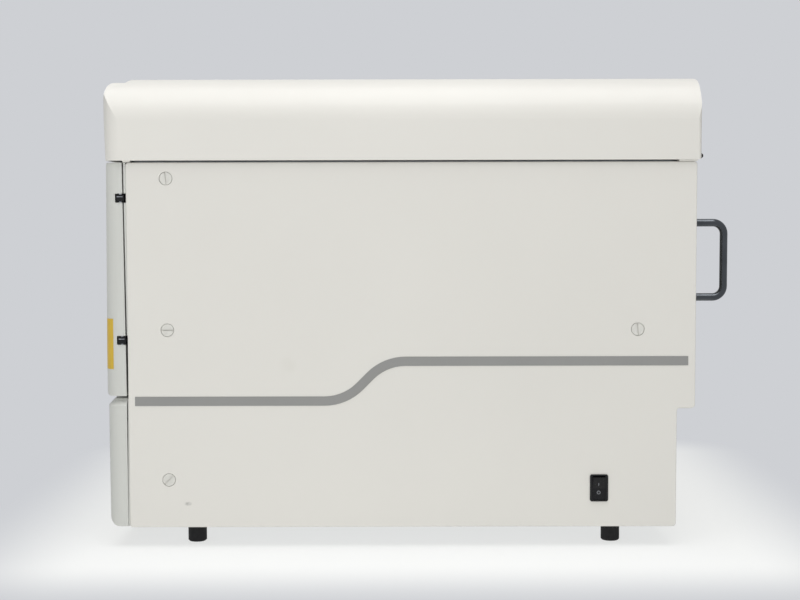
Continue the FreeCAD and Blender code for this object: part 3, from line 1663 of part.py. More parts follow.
def lift(name, x):
    """Lift: a frame with a plate on top and a nut below, on a screw between two guide rods."""
    top = S.deck_top - S.lift_sink
    under = top - S.lift_plate
    motor_top = pan_top + S.motor_long
    nut_low = motor_top + S.guide_plate + S.lift_stop
    frame = body(name + "_lift")
    wide = S.lift_wide / 2
    arm = S.lift_arm_long / 2
    nut = S.lift_nut_long / 2
    nut_half = S.screw * S.lift_nut_share
    arm_top = under + S.tool_over
    grow(frame, "top", under, S.lift_plate,
         rectangle(x - wide, bay_y - S.lift_long / 2, x + wide, bay_y + S.lift_long / 2, S.lift_round))
    grow(frame, "front", bay_y - arm, S.lift_arm_long, [
        (x - wide, nut_low),
        (x + wide, nut_low),
        (x + wide, arm_top),
        (x + wide - S.lift_arm, arm_top),
        (x + wide - S.lift_arm, nut_low + S.lift_nut),
        (x - wide + S.lift_arm, nut_low + S.lift_nut),
        (x - wide + S.lift_arm, arm_top),
        (x - wide, arm_top),
    ])
    grow(frame, "top", nut_low, S.lift_nut,
         rectangle(x - nut_half, bay_y - nut, x + nut_half, bay_y + nut, S.lift_nut_round))
    bores = [(x, bay_y, S.screw / 2 + S.running_fit)]
    bores += [(x, bay_y + side * S.guide_spread, S.guide_rod / 2 + S.running_fit) for side in (-1, 1)]
    carve(frame, "top", nut_low, S.lift_nut, *bores)
    if name == "contact":
        pins = [(x + S.contact_pitch * column, bay_y + S.contact_pitch * row, S.contact_pin)
                for column in (-2, -1, 0, 1, 2) for row in (-3, -2, -1, 0, 1, 2, 3)]
        grow(frame, "top", top, S.contact_rise, *pins)
    else:
        pad = S.pad_half
        aside = wide - S.pad_inset
        along = S.lift_long / 2 - S.pad_inset
        pads = [rectangle(x + sx * aside - pad, bay_y + sy * along - pad,
                          x + sx * aside + pad, bay_y + sy * along + pad, S.pad_round)
                for sx in (-1, 1) for sy in (-1, 1)]
        grow(frame, "top", top, S.pad_rise, *pads)
    node(name + "_lift", frame)
    screw = body(name + "_lift_screw")
    turn(screw, [
        (Size.of(0), -S.screw_tail),
        (S.motor_shaft / 2, -S.screw_tail),
        (S.motor_shaft / 2, S.guide_plate + S.screw_seat),
        (S.screw / 2, S.guide_plate + S.screw_seat),
        (S.screw / 2, under - motor_top - S.screw_gap - S.screw_bevel),
        (S.screw / 2 - S.screw_bevel, under - motor_top - S.screw_gap),
        (Size.of(0), under - motor_top - S.screw_gap),
    ])
    place(screw, x, bay_y, motor_top)
    node(name + "_lift_screw", screw)
    motor = body(name + "_lift_motor")
    side = S.motor_size / 2
    grow(motor, "top", pan_top, S.motor_long,
         rectangle(x - side, bay_y - side, x + side, bay_y + side, S.motor_round))
    carve(motor, "top", motor_top - S.screw_bore, S.screw_bore,
          (x, bay_y, S.motor_shaft / 2 + S.running_fit))
    guide = body(name + "_lift_guide")
    grow(guide, "top", motor_top, S.guide_plate,
         rectangle(x - side, bay_y - nut, x + side, bay_y + nut, S.motor_round))
    grow(guide, "top", motor_top, under - motor_top - S.screw_gap,
         *[(x, bay_y + spread * S.guide_spread, S.guide_rod / 2) for spread in (-1, 1)])
    carve(guide, "top", motor_top, S.guide_plate, (x, bay_y, S.motor_shaft / 2 + S.screw_clear))
    return motor, guide


def lifts():
    """The three lifts, with their motors on the base pan."""
    pairs = [lift(name, x) for name, x in bays.items()]
    node("lift_motors", group("motors", [motor for motor, _ in pairs]))
    node("lift_guides", group("guides", [guide for _, guide in pairs]))


# Optics


def optics():
    """Light-tight housing with its fold mirror, the lens barrel, the camera and their bench."""
    near = front + S.optics_front
    far = front + S.optics_rear
    base = bridge_top
    top = base + S.optics_rise
    wide = S.optics_half
    wall = S.optics_wall
    slope_low = base + S.mirror_rise
    mitre = wall * S.mirror_mitre
    run = top - slope_low
    housing = body("optics_box")
    grow(housing, "side", -wide, wide * 2, [
        (near, base), (far, base), (far, top, wall), (near + run, top, wall), (near, slope_low, wall)])
    carve(housing, "side", -wide + wall, wide * 2 - wall * 2, [
        (near + wall, base - S.tool_over), (far - wall, base - S.tool_over), (far - wall, top - wall),
        (near + run + mitre, top - wall), (near + wall, slope_low - mitre)])
    carve(housing, "front", far - wall, wall, (0, S.lens_axis, S.lens_radius + S.lens_fit))
    flange = S.optics_flange
    grow(housing, "top", base, wall,
         rectangle(-wide - flange, near - flange, wide + flange, far + flange, wall))
    carve(housing, "top", base, wall, rectangle(-wide + wall, near + wall, wide - wall, far - wall))
    node("optics_housing", housing)

    mirror = body("mirror")
    slant = wall * math.sqrt(2)
    offset = S.mirror_thick * math.sqrt(2)
    reach = S.mirror_half * math.sqrt(0.5)
    middle_z = (slope_low + top) / 2 - slant / 2
    middle_y = near + run / 2 + slant / 2
    grow(mirror, "side", -wide + wall + S.mirror_thick, wide * 2 - wall * 2 - S.mirror_thick * 2, [
        (middle_y - reach, middle_z - reach),
        (middle_y - reach + offset / 2, middle_z - reach - offset / 2),
        (middle_y + reach + offset / 2, middle_z + reach - offset / 2),
        (middle_y + reach, middle_z + reach),
    ])
    node("fold_mirror", mirror)

    barrel = body("barrel")
    radius = S.lens_radius
    long = S.lens_long
    bore = S.lens_bore
    turn(barrel, [
        (bore, -wall - S.lens_seat),
        (radius, -wall - S.lens_seat),
        (radius, Size.of(0)),
        (S.lens_flange, Size.of(0)),
        (S.lens_flange, S.lens_flange_thick),
        (radius, S.lens_flange_thick),
        (radius, long * 0.18),
        (radius + S.iris_rise, long * 0.2),
        (radius + S.iris_rise, long * 0.34),
        (radius, long * 0.36),
        (radius, long * 0.42),
        (radius + S.focus_rise, long * 0.44),
        (radius + S.focus_rise, long * 0.58),
        (radius, long * 0.6),
        (radius, long * 0.7),
        (radius - S.lens_neck, long * 0.78),
        (radius - S.lens_neck, long),
        (bore, long),
    ])
    place(barrel, 0, far, S.lens_axis, ALONG["Y"])
    node("lens_barrel", barrel)
    edge = S.glass_edge / 2
    crown = S.glass_crown
    ball = (bore * bore + crown * crown) / (crown * 2)
    disc = rod("glass_disc", 0, 0, -edge - crown, "Z", bore, (edge + crown) * 2)
    balls = []
    for side in (-1, 1):
        sphere = doc.addObject("Part::Sphere", "glass_ball")
        bind(sphere, "Radius", ball)
        balls.append(place(sphere, 0, 0, side * (ball - edge - crown)))
    lens = overlap("lens_form", [disc] + balls)
    place(lens, 0, far + S.glass_setback, S.lens_axis, ALONG["Y"])
    node("lens_glass", lens)

    camera = body("camera")
    start = far + long
    size = S.camera_half
    end = start + S.camera_long
    grow(camera, "front", start, S.camera_long,
         rectangle(-size, S.lens_axis - size, size, S.lens_axis + size, S.camera_round))
    low = -size + S.fin_gap
    first = carve(camera, "front", end - S.fin_depth, S.fin_depth,
                  rectangle(low, S.lens_axis - size, low + S.fin_gap, S.lens_axis + size))
    repeat(camera, first, "X", S.fin_pitch, SIZES["fin_count"])
    node("camera_body", camera)

    bench = body("bench")
    bench_top = S.lens_axis - size
    bench_low = bench_top - S.bench_thick
    back = front + S.bench_rear
    fore = front + S.bench_front
    leg = S.bench_thick
    foot = S.bench_foot
    corner = S.bench_round
    knee = S.bench_top_round
    grow(bench, "side", -S.bench_half, S.bench_half * 2, [
        (fore, S.deck_top), (fore + foot, S.deck_top), (fore + foot, S.deck_top + leg),
        (fore + leg, S.deck_top + leg, corner), (fore + leg, bench_low, knee),
        (back - leg, bench_low, knee), (back - leg, S.deck_top + leg, corner),
        (back - foot, S.deck_top + leg), (back - foot, S.deck_top), (back, S.deck_top),
        (back, bench_top), (fore, bench_top)])
    grow(bench, "front", fore, S.saddle_thick, [
        (-S.bench_half, bench_top - S.tool_over), (S.bench_half, bench_top - S.tool_over),
        (S.bench_half, S.lens_axis), (-S.bench_half, S.lens_axis)])
    carve(bench, "front", fore, S.saddle_thick, (0, S.lens_axis, S.lens_radius + S.saddle_gap))
    node("optics_bench", bench)


# Electronics


def electronics():
    """Power supply and control board on the base pan."""
    middle = front + S.electronics_depth
    supply = body("supply")
    x0 = S.supply_inset - chassis_inner
    y0 = middle - S.supply_long / 2
    margin = S.supply_margin
    grow(supply, "top", pan_top, S.supply_tall,
         rectangle(x0, y0, x0 + S.supply_wide, y0 + S.supply_long, S.supply_round))
    slot = carve(supply, "top", pan_top + S.supply_tall - S.vent_deep, S.vent_deep,
                 rectangle(x0 + margin, y0 + margin, x0 + S.supply_wide - margin,
                           y0 + margin + S.vent_slot, S.vent_round))
    repeat(supply, slot, "Y", S.vent_pitch, SIZES["vent_count"])
    node("power_supply", supply)
    board = body("board")
    x0 = chassis_inner - S.board_inset - S.board_wide
    y0 = middle - S.board_long / 2
    low = pan_top + S.standoff
    grow(board, "top", low, S.board_thick,
         rectangle(x0, y0, x0 + S.board_wide, y0 + S.board_long, S.board_round))
    margin = S.board_margin
    corners = [(x, y, S.standoff_radius)
               for x in (x0 + margin, x0 + S.board_wide - margin)
               for y in (y0 + margin, y0 + S.board_long - margin)]
    grow(board, "top", pan_top, S.standoff, *corners)
    top = low + S.board_thick
    chips = [
        (30, 30, 30, 30, 4),
        (90, 30, 50, 16, 10),
        (30, 90, 16, 40, 12),
        (80, 80, 40, 40, 6),
        (145, 70, 14, 60, 9),
    ]
    for x, y, wide, long, tall in chips:
        grow(board, "top", top, Size.of(tall), rectangle(x0 + x, y0 + y, x0 + x + wide, y0 + y + long))
    node("control_board", board)


top_cover()
side_cover("right_side_cover", 1)
side_cover("left_side_cover", -1)
side_stripes()
SLOT_ANGLES = {"upper": 8, "middle": 90, "lower": -45, "rear": 5}
for side_name, side in (("right", 1), ("left", -1)):
    for name, depth, height in latch_points():
        latch("%s_%s_latch" % (side_name, name), side, depth, height, SLOT_ANGLES[name])
front_door()
door_knuckles()
door_magnet()
lower_front_panel()
inner_fascia()
chassis_side("right_chassis_side", 1)
chassis_side("left_chassis_side", -1)
base_pan()
feet()
rear_panel()
case_screws()
rear_handles()
exhaust_fan()
rear_sockets()
power_switch()
deck_plate()
bridge_plate()
magazine("input_magazine", bays["input"])
magazine("output_magazine", bays["output"])
rails()
plate_shuttle()
drive()
lifts()
optics()
electronics()

doc.recompute()
faults = [item.Label for item in doc.Objects if "Invalid" in item.State or "Error" in item.State]
for item in nodes:
    if item.Shape.isNull() or not item.Shape.isValid():
        faults.append(item.Label)
if faults:
    raise RuntimeError("failed: " + ", ".join(faults))
os.makedirs("parts", exist_ok=True)
for item in nodes:
    item.Shape.exportStep("parts/%s.step" % item.Label)
print(len(nodes), "nodes,", sum(len(item.Shape.Solids) for item in nodes), "solids")
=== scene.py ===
"""Finishes, small parts and studio of a multiplex assay analyzer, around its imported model.

Everything is in metres in the model's own frame: the front door faces -Y, +X is the user's
right and the bench is at Z = 0. Names that end in _mm hold millimetres.
"""

import logging
import math
from collections.abc import Iterable, Sequence
from dataclasses import dataclass, replace
from enum import Enum

import bmesh
import bpy
from mathutils import Matrix, Vector
from mathutils.bvhtree import BVHTree


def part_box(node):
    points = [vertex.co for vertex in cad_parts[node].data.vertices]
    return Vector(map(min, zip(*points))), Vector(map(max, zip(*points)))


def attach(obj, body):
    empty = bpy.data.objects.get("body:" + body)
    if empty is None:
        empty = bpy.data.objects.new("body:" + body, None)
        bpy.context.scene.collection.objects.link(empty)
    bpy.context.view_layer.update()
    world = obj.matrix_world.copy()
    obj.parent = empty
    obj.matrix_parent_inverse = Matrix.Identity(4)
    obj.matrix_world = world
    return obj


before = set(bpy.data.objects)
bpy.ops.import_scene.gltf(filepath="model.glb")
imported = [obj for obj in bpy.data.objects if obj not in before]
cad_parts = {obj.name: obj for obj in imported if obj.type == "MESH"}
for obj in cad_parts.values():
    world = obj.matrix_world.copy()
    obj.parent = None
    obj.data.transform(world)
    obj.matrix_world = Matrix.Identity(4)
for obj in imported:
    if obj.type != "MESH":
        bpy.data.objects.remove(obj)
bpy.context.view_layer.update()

MM = 0.001
# Sockets of a Mix node that mixes colours: the share, the two colours and the result.
SHARE, FIRST, SECOND, MIXED = 0, 6, 7, 2
# Nearly all of a noise pattern's values lie between these.
NOISE_LOW, NOISE_HIGH = 0.3, 0.7
# Phase that a wave pattern runs through per metre at a scale of 1.
WAVE_PHASE = 20
# Height of a laid sheet's back, as a share of its thickness: it clears what it lies on.
BACK_LIFT = 0.05
log = logging.getLogger("analyzer")

Tree = bpy.types.NodeTree
Node = bpy.types.Node
# What an input can be linked to: another node's output, or a node for its first output.
Source = Node | bpy.types.NodeSocket
Sockets = bpy.types.bpy_prop_collection
Mesh = bpy.types.Mesh
Piece = bpy.types.Object
Point = tuple[float, float, float]
# Two corners of a box, or a start and a direction.
Pair = tuple[Vector, Vector]


def linear(colour: str, shade: float = 1.0) -> tuple[float, float, float, float]:
    """Turn an sRGB hex colour into linear light.

    Args:
        colour: Six hex digits after a hash sign.
        shade: Factor on the linear value, for a lighter or darker tone.

    Returns:
        Red, green, blue and an alpha of 1.
    """
    channels = [int(colour[place:place + 2], 16) / 255 for place in (1, 3, 5)]
    curve = [c / 12.92 if c <= 0.04045 else ((c + 0.055) / 1.055) ** 2.4 for c in channels]
    return (*(min(value * shade, 1.0) for value in curve), 1.0)


def add_node(tree: Tree, kind: str, sockets: dict | None = None, **settings: object) -> Node:
    """Add a node, set its properties, and fill or link its inputs.

    Args:
        tree: Shader or geometry tree that takes the node.
        kind: The node's type name.
        sockets: Input name or index to a constant, to another node's output, or to the other
            node itself for its first output.
        **settings: Properties of the node, set before its inputs.

    Returns:
        The new node.
    """
    node = tree.nodes.new(kind)
    for key, value in settings.items():
        setattr(node, key, value)
    for key, value in (sockets or {}).items():
        if isinstance(value, Source):
            output = value.outputs[0] if isinstance(value, Node) else value
            tree.links.new(output, node.inputs[key])
        else:
            node.inputs[key].default_value = value
    return node


class Grain(Enum):
    """Way that a surface was worked, as the stretch of its pattern along X, Y and Z."""

    EVEN = (1.0, 1.0, 1.0)
    ALONG_X = (0.03, 1.0, 1.0)
    ALONG_Y = (1.0, 0.03, 1.0)
    ALONG_Z = (1.0, 1.0, 0.03)


@dataclass(frozen=True)
class Finish:
    """A surface: what it is made of and how it was worked.

    Its colour drifts slowly over the piece, its gloss wanders, and a fine grain gives it relief.
    """

    name: str
    colour: str
    roughness: float
    metallic: float = 0.0
    ior: float = 1.5
    drift: float = 0.03
    drift_mm: float = 150.0
    gloss_drift: float = 0.05
    grain: Grain = Grain.EVEN
    grain_mm: float = 3.0
    relief_mm: float = 0.01
    grains_per_patch: float = 6
    detail: float = 2.0

    @property
    def tree(self) -> Tree:
        """Give the nodes of this finish's material."""
        return bpy.data.materials[self.name].node_tree

    @property
    def place(self) -> Source:
        """Give the piece's own coordinates, in metres."""
        return self.tree.nodes["place"].outputs["Object"]

    def material(self) -> bpy.types.Material:
        """Build the material once, and give the same one afterwards.

        Returns:
            The material of this finish.
        """
        made = bpy.data.materials.get(self.name)
        if not made:
            made = bpy.data.materials.new(self.name)
            made.use_nodes = True
            made.node_tree.nodes.clear()
            add_node(self.tree, "ShaderNodeTexCoord", name="place")
            add_node(self.tree, "ShaderNodeOutputMaterial", {"Surface": self.shader()})
        return made

    def shader(self) -> Node:
        """Put colour, gloss and relief on one shader.

        Returns:
            The shader node.
        """
        shader = add_node(self.tree, "ShaderNodeBsdfPrincipled", {
            "Base Color": self.tint(), "Roughness": self.gloss(),
            "Metallic": self.metallic, "Normal": self.relief()})
        if not self.metallic:
            shader.inputs["IOR"].default_value = self.ior
        return shader

    def wander(self, place: Source, cell_mm: float, low: float, high: float,
               detail: float) -> Source:
        """Let a value wander over the surface in patches of a real width.

        Args:
            place: Coordinates in metres.
            cell_mm: Width of a patch in millimetres.
            low: Value in the lowest patches.
            high: Value in the highest patches.
            detail: Octaves of finer noise.

        Returns:
            The wandering value.
        """
        noise = add_node(self.tree, "ShaderNodeTexNoise", {
            "Vector": place, "Scale": 1 / (cell_mm * MM), "Detail": detail})
        return add_node(self.tree, "ShaderNodeMapRange", {
            "Value": noise, "From Min": NOISE_LOW, "From Max": NOISE_HIGH,
            "To Min": low, "To Max": high})

    def tone(self) -> Source:
        """Give the lighter tone's share, from 0 to 1."""
        return self.wander(self.place, self.drift_mm, 0.0, 1.0, self.detail)

    def tint(self) -> Source:
        """Let the colour vary between a darker and a lighter tone.

        Returns:
            The colour.
        """
        return add_node(self.tree, "ShaderNodeMix", {
            SHARE: self.tone(), FIRST: linear(self.colour, 1 - self.drift),
            SECOND: linear(self.colour, 1 + self.drift)}, data_type="RGBA").outputs[MIXED]

    def gloss(self) -> Source:
        """Let the roughness wander about its value, in patches some grains wide.

        Returns:
            The roughness.
        """
        low = max(self.roughness - self.gloss_drift, 0.0)
        return self.wander(self.grained(), self.grain_mm * self.grains_per_patch, low,
                           self.roughness + self.gloss_drift, self.detail)

    def relief(self) -> Source:
        """Raise the grain by its real depth.

        Returns:
            The normal.
        """
        height = add_node(self.tree, "ShaderNodeTexNoise", {
            "Vector": self.grained(), "Scale": 1 / (self.grain_mm * MM), "Detail": self.detail})
        return add_node(self.tree, "ShaderNodeBump", {
            "Height": height, "Distance": self.relief_mm * MM})

    def grained(self) -> Source:
        """Stretch the coordinates along the way that the surface was worked.

        Returns:
            The stretched coordinates.
        """
        if self.grain is Grain.EVEN:
            return self.place
        return add_node(self.tree, "ShaderNodeMapping", {
            "Vector": self.place, "Scale": self.grain.value})


@dataclass(frozen=True)
class Mark:
    """A faint mark on a panel: where it is, how far it reaches and how it tones the colour.

    Its core is the share of its reach with full strength. Its edge is broken into patches, and
    the thinnest ones keep a share of that strength.
    """

    centre_mm: Point
    reach_mm: tuple[float, float]
    colour: str
    strength: float
    ragged_mm: float
    core: float = 0.2
    thinnest: float = 0.35
    detail: float = 4.0


@dataclass(frozen=True)
class MarkedFinish(Finish):
    """A panel finish that carries a few faint marks of use."""

    marks: tuple[Mark, ...] = ()

    def tint(self) -> Source:
        """Lay each mark over the drifting colour, with a ragged soft edge.

        Returns:
            The marked colour.
        """
        colour = super().tint()
        for mark in self.marks:
            wide, tall = mark.reach_mm
            offset = add_node(self.tree, "ShaderNodeVectorMath", {
                0: self.place, 1: Vector(mark.centre_mm) * MM}, operation="SUBTRACT")
            local = add_node(self.tree, "ShaderNodeVectorMath", {
                0: offset, 1: Vector((1 / (wide * MM), 1 / (wide * MM), 1 / (tall * MM)))},
                operation="MULTIPLY")
            distance = add_node(self.tree, "ShaderNodeVectorMath", {0: local},
                                operation="LENGTH").outputs["Value"]
            ragged = self.wander(self.place, mark.ragged_mm, mark.thinnest, 1.0, mark.detail)
            near = add_node(self.tree, "ShaderNodeMapRange", {
                "Value": distance, "From Min": mark.core, "From Max": 1.0,
                "To Min": mark.strength, "To Max": 0.0}, interpolation_type="SMOOTHSTEP")
            share = add_node(self.tree, "ShaderNodeMath", {0: near, 1: ragged},
                             operation="MULTIPLY")
            colour = add_node(self.tree, "ShaderNodeMix", {
                SHARE: share, FIRST: colour, SECOND: linear(mark.colour)},
                data_type="RGBA").outputs[MIXED]
        return colour


@dataclass(frozen=True)
class SpangledFinish(Finish):
    """Zinc-plated sheet: flat crystals with slightly different tone and gloss."""

    spangle_mm: float = 5.0

    def tone(self) -> Source:
        """Give every crystal a tone of its own.

        Returns:
            A value between 0 and 1.
        """
        cells = add_node(self.tree, "ShaderNodeTexVoronoi", {
            "Vector": self.place, "Scale": 1 / (self.spangle_mm * MM)})
        return add_node(self.tree, "ShaderNodeSeparateColor", {0: cells.outputs["Color"]})

    def gloss(self) -> Source:
        """Give each crystal a slightly different gloss.

        Returns:
            The roughness.
        """
        return add_node(self.tree, "ShaderNodeMapRange", {
            "Value": self.tone(), "To Min": self.roughness - self.gloss_drift,
            "To Max": self.roughness + self.gloss_drift})


@dataclass(frozen=True)
class BoardFinish(Finish):
    """Solder mask over copper: tracks show as a lighter pattern."""

    track_mm: float = 4.0
    track_colour: str = "#2F7A4B"
    track_edge: float = 0.55

    def tint(self) -> Source:
        """Lighten the mask over the tracks.

        Returns:
            The colour.
        """
        cells = add_node(self.tree, "ShaderNodeTexVoronoi", {
            "Vector": self.place, "Scale": 1 / (self.track_mm * MM)},
            feature="F1", distance="MANHATTAN")
        track = add_node(self.tree, "ShaderNodeMath", {
            0: cells.outputs["Distance"], 1: self.track_edge}, operation="GREATER_THAN")
        return add_node(self.tree, "ShaderNodeMix", {
            SHARE: track, FIRST: super().tint(), SECOND: linear(self.track_colour)},
            data_type="RGBA").outputs[MIXED]


@dataclass(frozen=True)
class GlassFinish(Finish):
    """Polished optical glass with an anti-reflex coating."""

    coating: str = "#7A6CC0"
    coating_weight: float = 0.4

    def shader(self) -> Node:
        """Let light through, and tint what the coating throws back.

        Returns:
            The shader node.
        """
        shader = super().shader()
        shader.inputs["Transmission Weight"].default_value = 1.0
        shader.inputs["Coat Weight"].default_value = self.coating_weight
        shader.inputs["Coat Tint"].default_value = linear(self.coating)
        return shader


@dataclass(frozen=True)
class ThreadFinish(Finish):
    """A rolled thread on an upright screw, drawn as relief about the screw's own axis."""

    axis_mm: tuple[float, float] = (0.0, 0.0)
    lead_mm: float = 10.0
    starts: int = 4
    depth_mm: float = 0.9

    def relief(self) -> Source:
        """Wind the thread's ridges round the axis, over the fine grain.

        Returns:
            The normal.
        """
        x, y, z = add_node(self.tree, "ShaderNodeSeparateXYZ", {0: self.place}).outputs
        east, north = [add_node(self.tree, "ShaderNodeMath", {0: along, 1: middle * MM},
                                operation="SUBTRACT")
                       for along, middle in zip((x, y), self.axis_mm)]
        angle = add_node(self.tree, "ShaderNodeMath", {0: north, 1: east}, operation="ARCTAN2")
        climb = add_node(self.tree, "ShaderNodeMath", {
            0: z, 1: math.tau * self.starts / (self.lead_mm * MM)}, operation="MULTIPLY")
        wound = add_node(self.tree, "ShaderNodeMath", {0: angle, 1: float(self.starts), 2: climb},
                         operation="MULTIPLY_ADD")
        ridge = add_node(self.tree, "ShaderNodeMath", {0: wound}, operation="SINE")
        return add_node(self.tree, "ShaderNodeBump", {
            "Height": ridge, "Distance": self.depth_mm * MM / 2, "Normal": super().relief()})


@dataclass(frozen=True)
class ToothedFinish(Finish):
    """A moulded belt: teeth across its width, at their real pitch."""

    pitch_mm: float = 5.0
    tooth_mm: float = 1.2

    def relief(self) -> Source:
        """Raise the teeth along the belt's run.

        Returns:
            The normal.
        """
        bands = add_node(self.tree, "ShaderNodeTexWave", {
            "Vector": self.place, "Scale": math.tau / WAVE_PHASE / (self.pitch_mm * MM)},
            bands_direction="X", wave_profile="TRI").outputs["Fac"]
        return add_node(self.tree, "ShaderNodeBump", {
            "Height": bands, "Distance": self.tooth_mm * MM, "Normal": super().relief()})


# Warm white two-part enamel on a moulded shell, sprayed: satin, with a faint orange peel. The peel
# is drawn at 5 mm, coarser than the real 1.5 mm, so that it shows at all.
COVER_ENAMEL = Finish("warm_white_enamel_moulding", "#DEDCD6", 0.42, drift=0.012, drift_mm=220,
                      gloss_drift=0.04, grain_mm=5.0, relief_mm=0.006)
# The same enamel on the door, cooler and greyer, and made darker still as painted shade on its
# corners.
DOOR_ENAMEL_AND_PAINTED_SHADE = replace(COVER_ENAMEL, name="warm_white_enamel_door_painted_shade", colour="#CBCCC7",
                      drift=0.015, drift_mm=160)
# Enamel on the flat side pans, with the faint marks of use that such a panel gets: a grey smear
# and a scratch by the lower fastener and a pale stain in the middle.
PANEL_MARKS = (
    Mark((302, -282, 54), (6.5, 3.5), "#8A8A86", 0.75, 3.0),
    Mark((302, -283, 70), (2.2, 15), "#B5B4AE", 0.45, 6.0),
    Mark((302, -159, 223), (14, 15), "#CFCDC4", 0.30, 20.0),
)
PANEL_ENAMEL = MarkedFinish("warm_white_enamel_panel", "#DCDAD4", 0.40, drift=0.012, drift_mm=260,
                            gloss_drift=0.04, grain_mm=5.0, relief_mm=0.006, marks=PANEL_MARKS)
# Matt grey polyester film, printed and stuck on: no shine, fine even tooth.
TRIM_FILM = Finish("grey_polyester_film", "#8F8F8D", 0.55, drift=0.02, drift_mm=90,
                   grain_mm=1.2, relief_mm=0.004)
# Glossy yellow vinyl sticker, left blank.
LABEL_VINYL = Finish("yellow_vinyl_label", "#D0AE3A", 0.38, drift_mm=25,
                     grain_mm=2.0, relief_mm=0.004)
# Black ABS, spark-eroded in the mould: matt with a fine leathery tooth.
BLACK_ABS = Finish("black_abs_moulding", "#08080A", 0.45, ior=1.45, drift=0.10, drift_mm=30,
                   gloss_drift=0.08, grain_mm=1.2, relief_mm=0.03)
# Polished black nylon of the rocker, smoother than its frame.
ROCKER_NYLON = Finish("black_nylon_rocker", "#0A0A0C", 0.28, ior=1.4, drift=0.06, drift_mm=12,
                      grain_mm=1.5, relief_mm=0.008)
# Pad-printed grey ink: thin, even and dull.
PRINT_INK = Finish("grey_printing_ink", "#85878B", 0.5, drift=0.05, drift_mm=3,
                   grain_mm=0.5, relief_mm=0.003)
# The panel's enamel on the turned heads of the fasteners, a little darker than the panel.
HEAD_ENAMEL = Finish("warm_white_enamel_fastener", "#D3D2CC", 0.36, drift=0.04, drift_mm=5,
                     gloss_drift=0.08, grain_mm=1.5, relief_mm=0.005)
# Dark polished steel rod: mirror-like with drawn lines along its length.
POLISHED_STEEL = Finish("polished_dark_steel_rod", "#54575A", 0.17, metallic=1.0, drift=0.08,
                        drift_mm=20, grain=Grain.ALONG_Z, grain_mm=0.8, relief_mm=0.002)
# Ground and hardened steel shafting: bright, with fine lines along it.
GROUND_STEEL = Finish("ground_steel_shaft", "#C4C7CA", 0.22, metallic=1.0, drift=0.04,
                      drift_mm=15, grain=Grain.ALONG_X, grain_mm=0.7, relief_mm=0.003)
# Black oxide on steel screws: dark, faintly brown, oily sheen.
BLACK_OXIDE = Finish("black_oxide_steel", "#3A3836", 0.38, metallic=1.0, drift=0.12, drift_mm=4,
                     grain_mm=0.8, relief_mm=0.004)
# Bright zinc on small screws: clean and faintly blue.
BRIGHT_ZINC = Finish("bright_zinc_screw", "#B9BDC2", 0.27, metallic=1.0, drift=0.06, drift_mm=4,
                     grain_mm=0.8, relief_mm=0.003)
# Nitrile rubber, moulded: dull, dusty tone.
FOOT_RUBBER = Finish("black_nitrile_rubber", "#151517", 0.75, drift=0.2, drift_mm=14,
                     grain_mm=1.5, relief_mm=0.03)
# Galvanised sheet of the chassis: a patchwork of flat grey crystals.
ZINC_SHEET = SpangledFinish("galvanised_steel_sheet", "#B3B7BB", 0.36, metallic=1.0, drift=0.10,
                            gloss_drift=0.08, grain_mm=2.0, relief_mm=0.004)
# Dark grey powder coat on the sheet behind the door: fine pebbled texture.
POWDER_COAT = Finish("dark_grey_powder_coat", "#5E6164", 0.55, drift=0.05, drift_mm=60,
                     grain_mm=1.6, relief_mm=0.05)
# Clear anodised aluminium, milled and brushed along the instrument's width.
ANODISED_PLATE = Finish("clear_anodised_aluminium", "#C3C6C9", 0.33, metallic=1.0, drift=0.04,
                        drift_mm=50, grain=Grain.ALONG_X, grain_mm=0.9, relief_mm=0.004)
# The same metal on upright profiles, brushed along their height.
ANODISED_PROFILE = replace(ANODISED_PLATE, name="clear_anodised_profile", grain=Grain.ALONG_Z)
# Black anodised aluminium of lens and camera: deep, satin, slightly violet in the light.
ANODISED_BLACK = Finish("black_anodised_aluminium", "#1C1B1F", 0.32, metallic=0.6, drift=0.08,
                        drift_mm=30, grain_mm=1.0, relief_mm=0.006)
# Flat black paint that swallows stray light.
FLAT_BLACK = Finish("flat_black_paint", "#161617", 0.85, drift=0.15, drift_mm=40,
                    grain_mm=1.4, relief_mm=0.04)
# Black lacquer on laminated steel motors: the plates show as fine lines round the body.
MOTOR_LACQUER = Finish("black_motor_lacquer", "#202124", 0.35, drift=0.1, drift_mm=20,
                       grain=Grain.ALONG_X, grain_mm=1.2, relief_mm=0.03)
# Cast polyurethane belt with a fabric back: dull black between its teeth.
BELT_RUBBER = ToothedFinish("polyurethane_belt", "#232324", 0.6, drift=0.15, drift_mm=10,
                            grain_mm=1.0, relief_mm=0.02)
# Tinned brass of plug blades, drawn along their length: pale and soft in its shine.
TINNED_BRASS = Finish("tinned_brass_blade", "#C2C0B8", 0.25, metallic=1.0, drift=0.05, drift_mm=4,
                      grain=Grain.ALONG_Y, grain_mm=0.8, relief_mm=0.003)
# Epoxy case of chips, transfer moulded: matt charcoal.
CHIP_EPOXY = Finish("charcoal_moulded_epoxy", "#2A2B2D", 0.6, drift=0.08, drift_mm=12,
                    grain_mm=1.0)
# Mirror with silver on the front of polished glass: all but free of grain.
MIRROR_SILVER = Finish("front_silvered_mirror", "#E6E8E8", 0.03, metallic=1.0, drift=0.01,
                       gloss_drift=0.01, grain_mm=8.0, relief_mm=0.0005)
# Ground and polished crown glass: clear, with a violet cast from its coating.
LENS_GLASS = GlassFinish("coated_lens_glass", "#EEF4F6", 0.02, ior=1.52, drift=0.01,
                         gloss_drift=0.01, grain_mm=8.0, relief_mm=0.0005)
# Screened and cured solder mask: green and half glossy.
SOLDER_MASK = BoardFinish("green_solder_mask", "#1B4F31", 0.35, drift=0.06, drift_mm=30,
                          grain_mm=2.0)


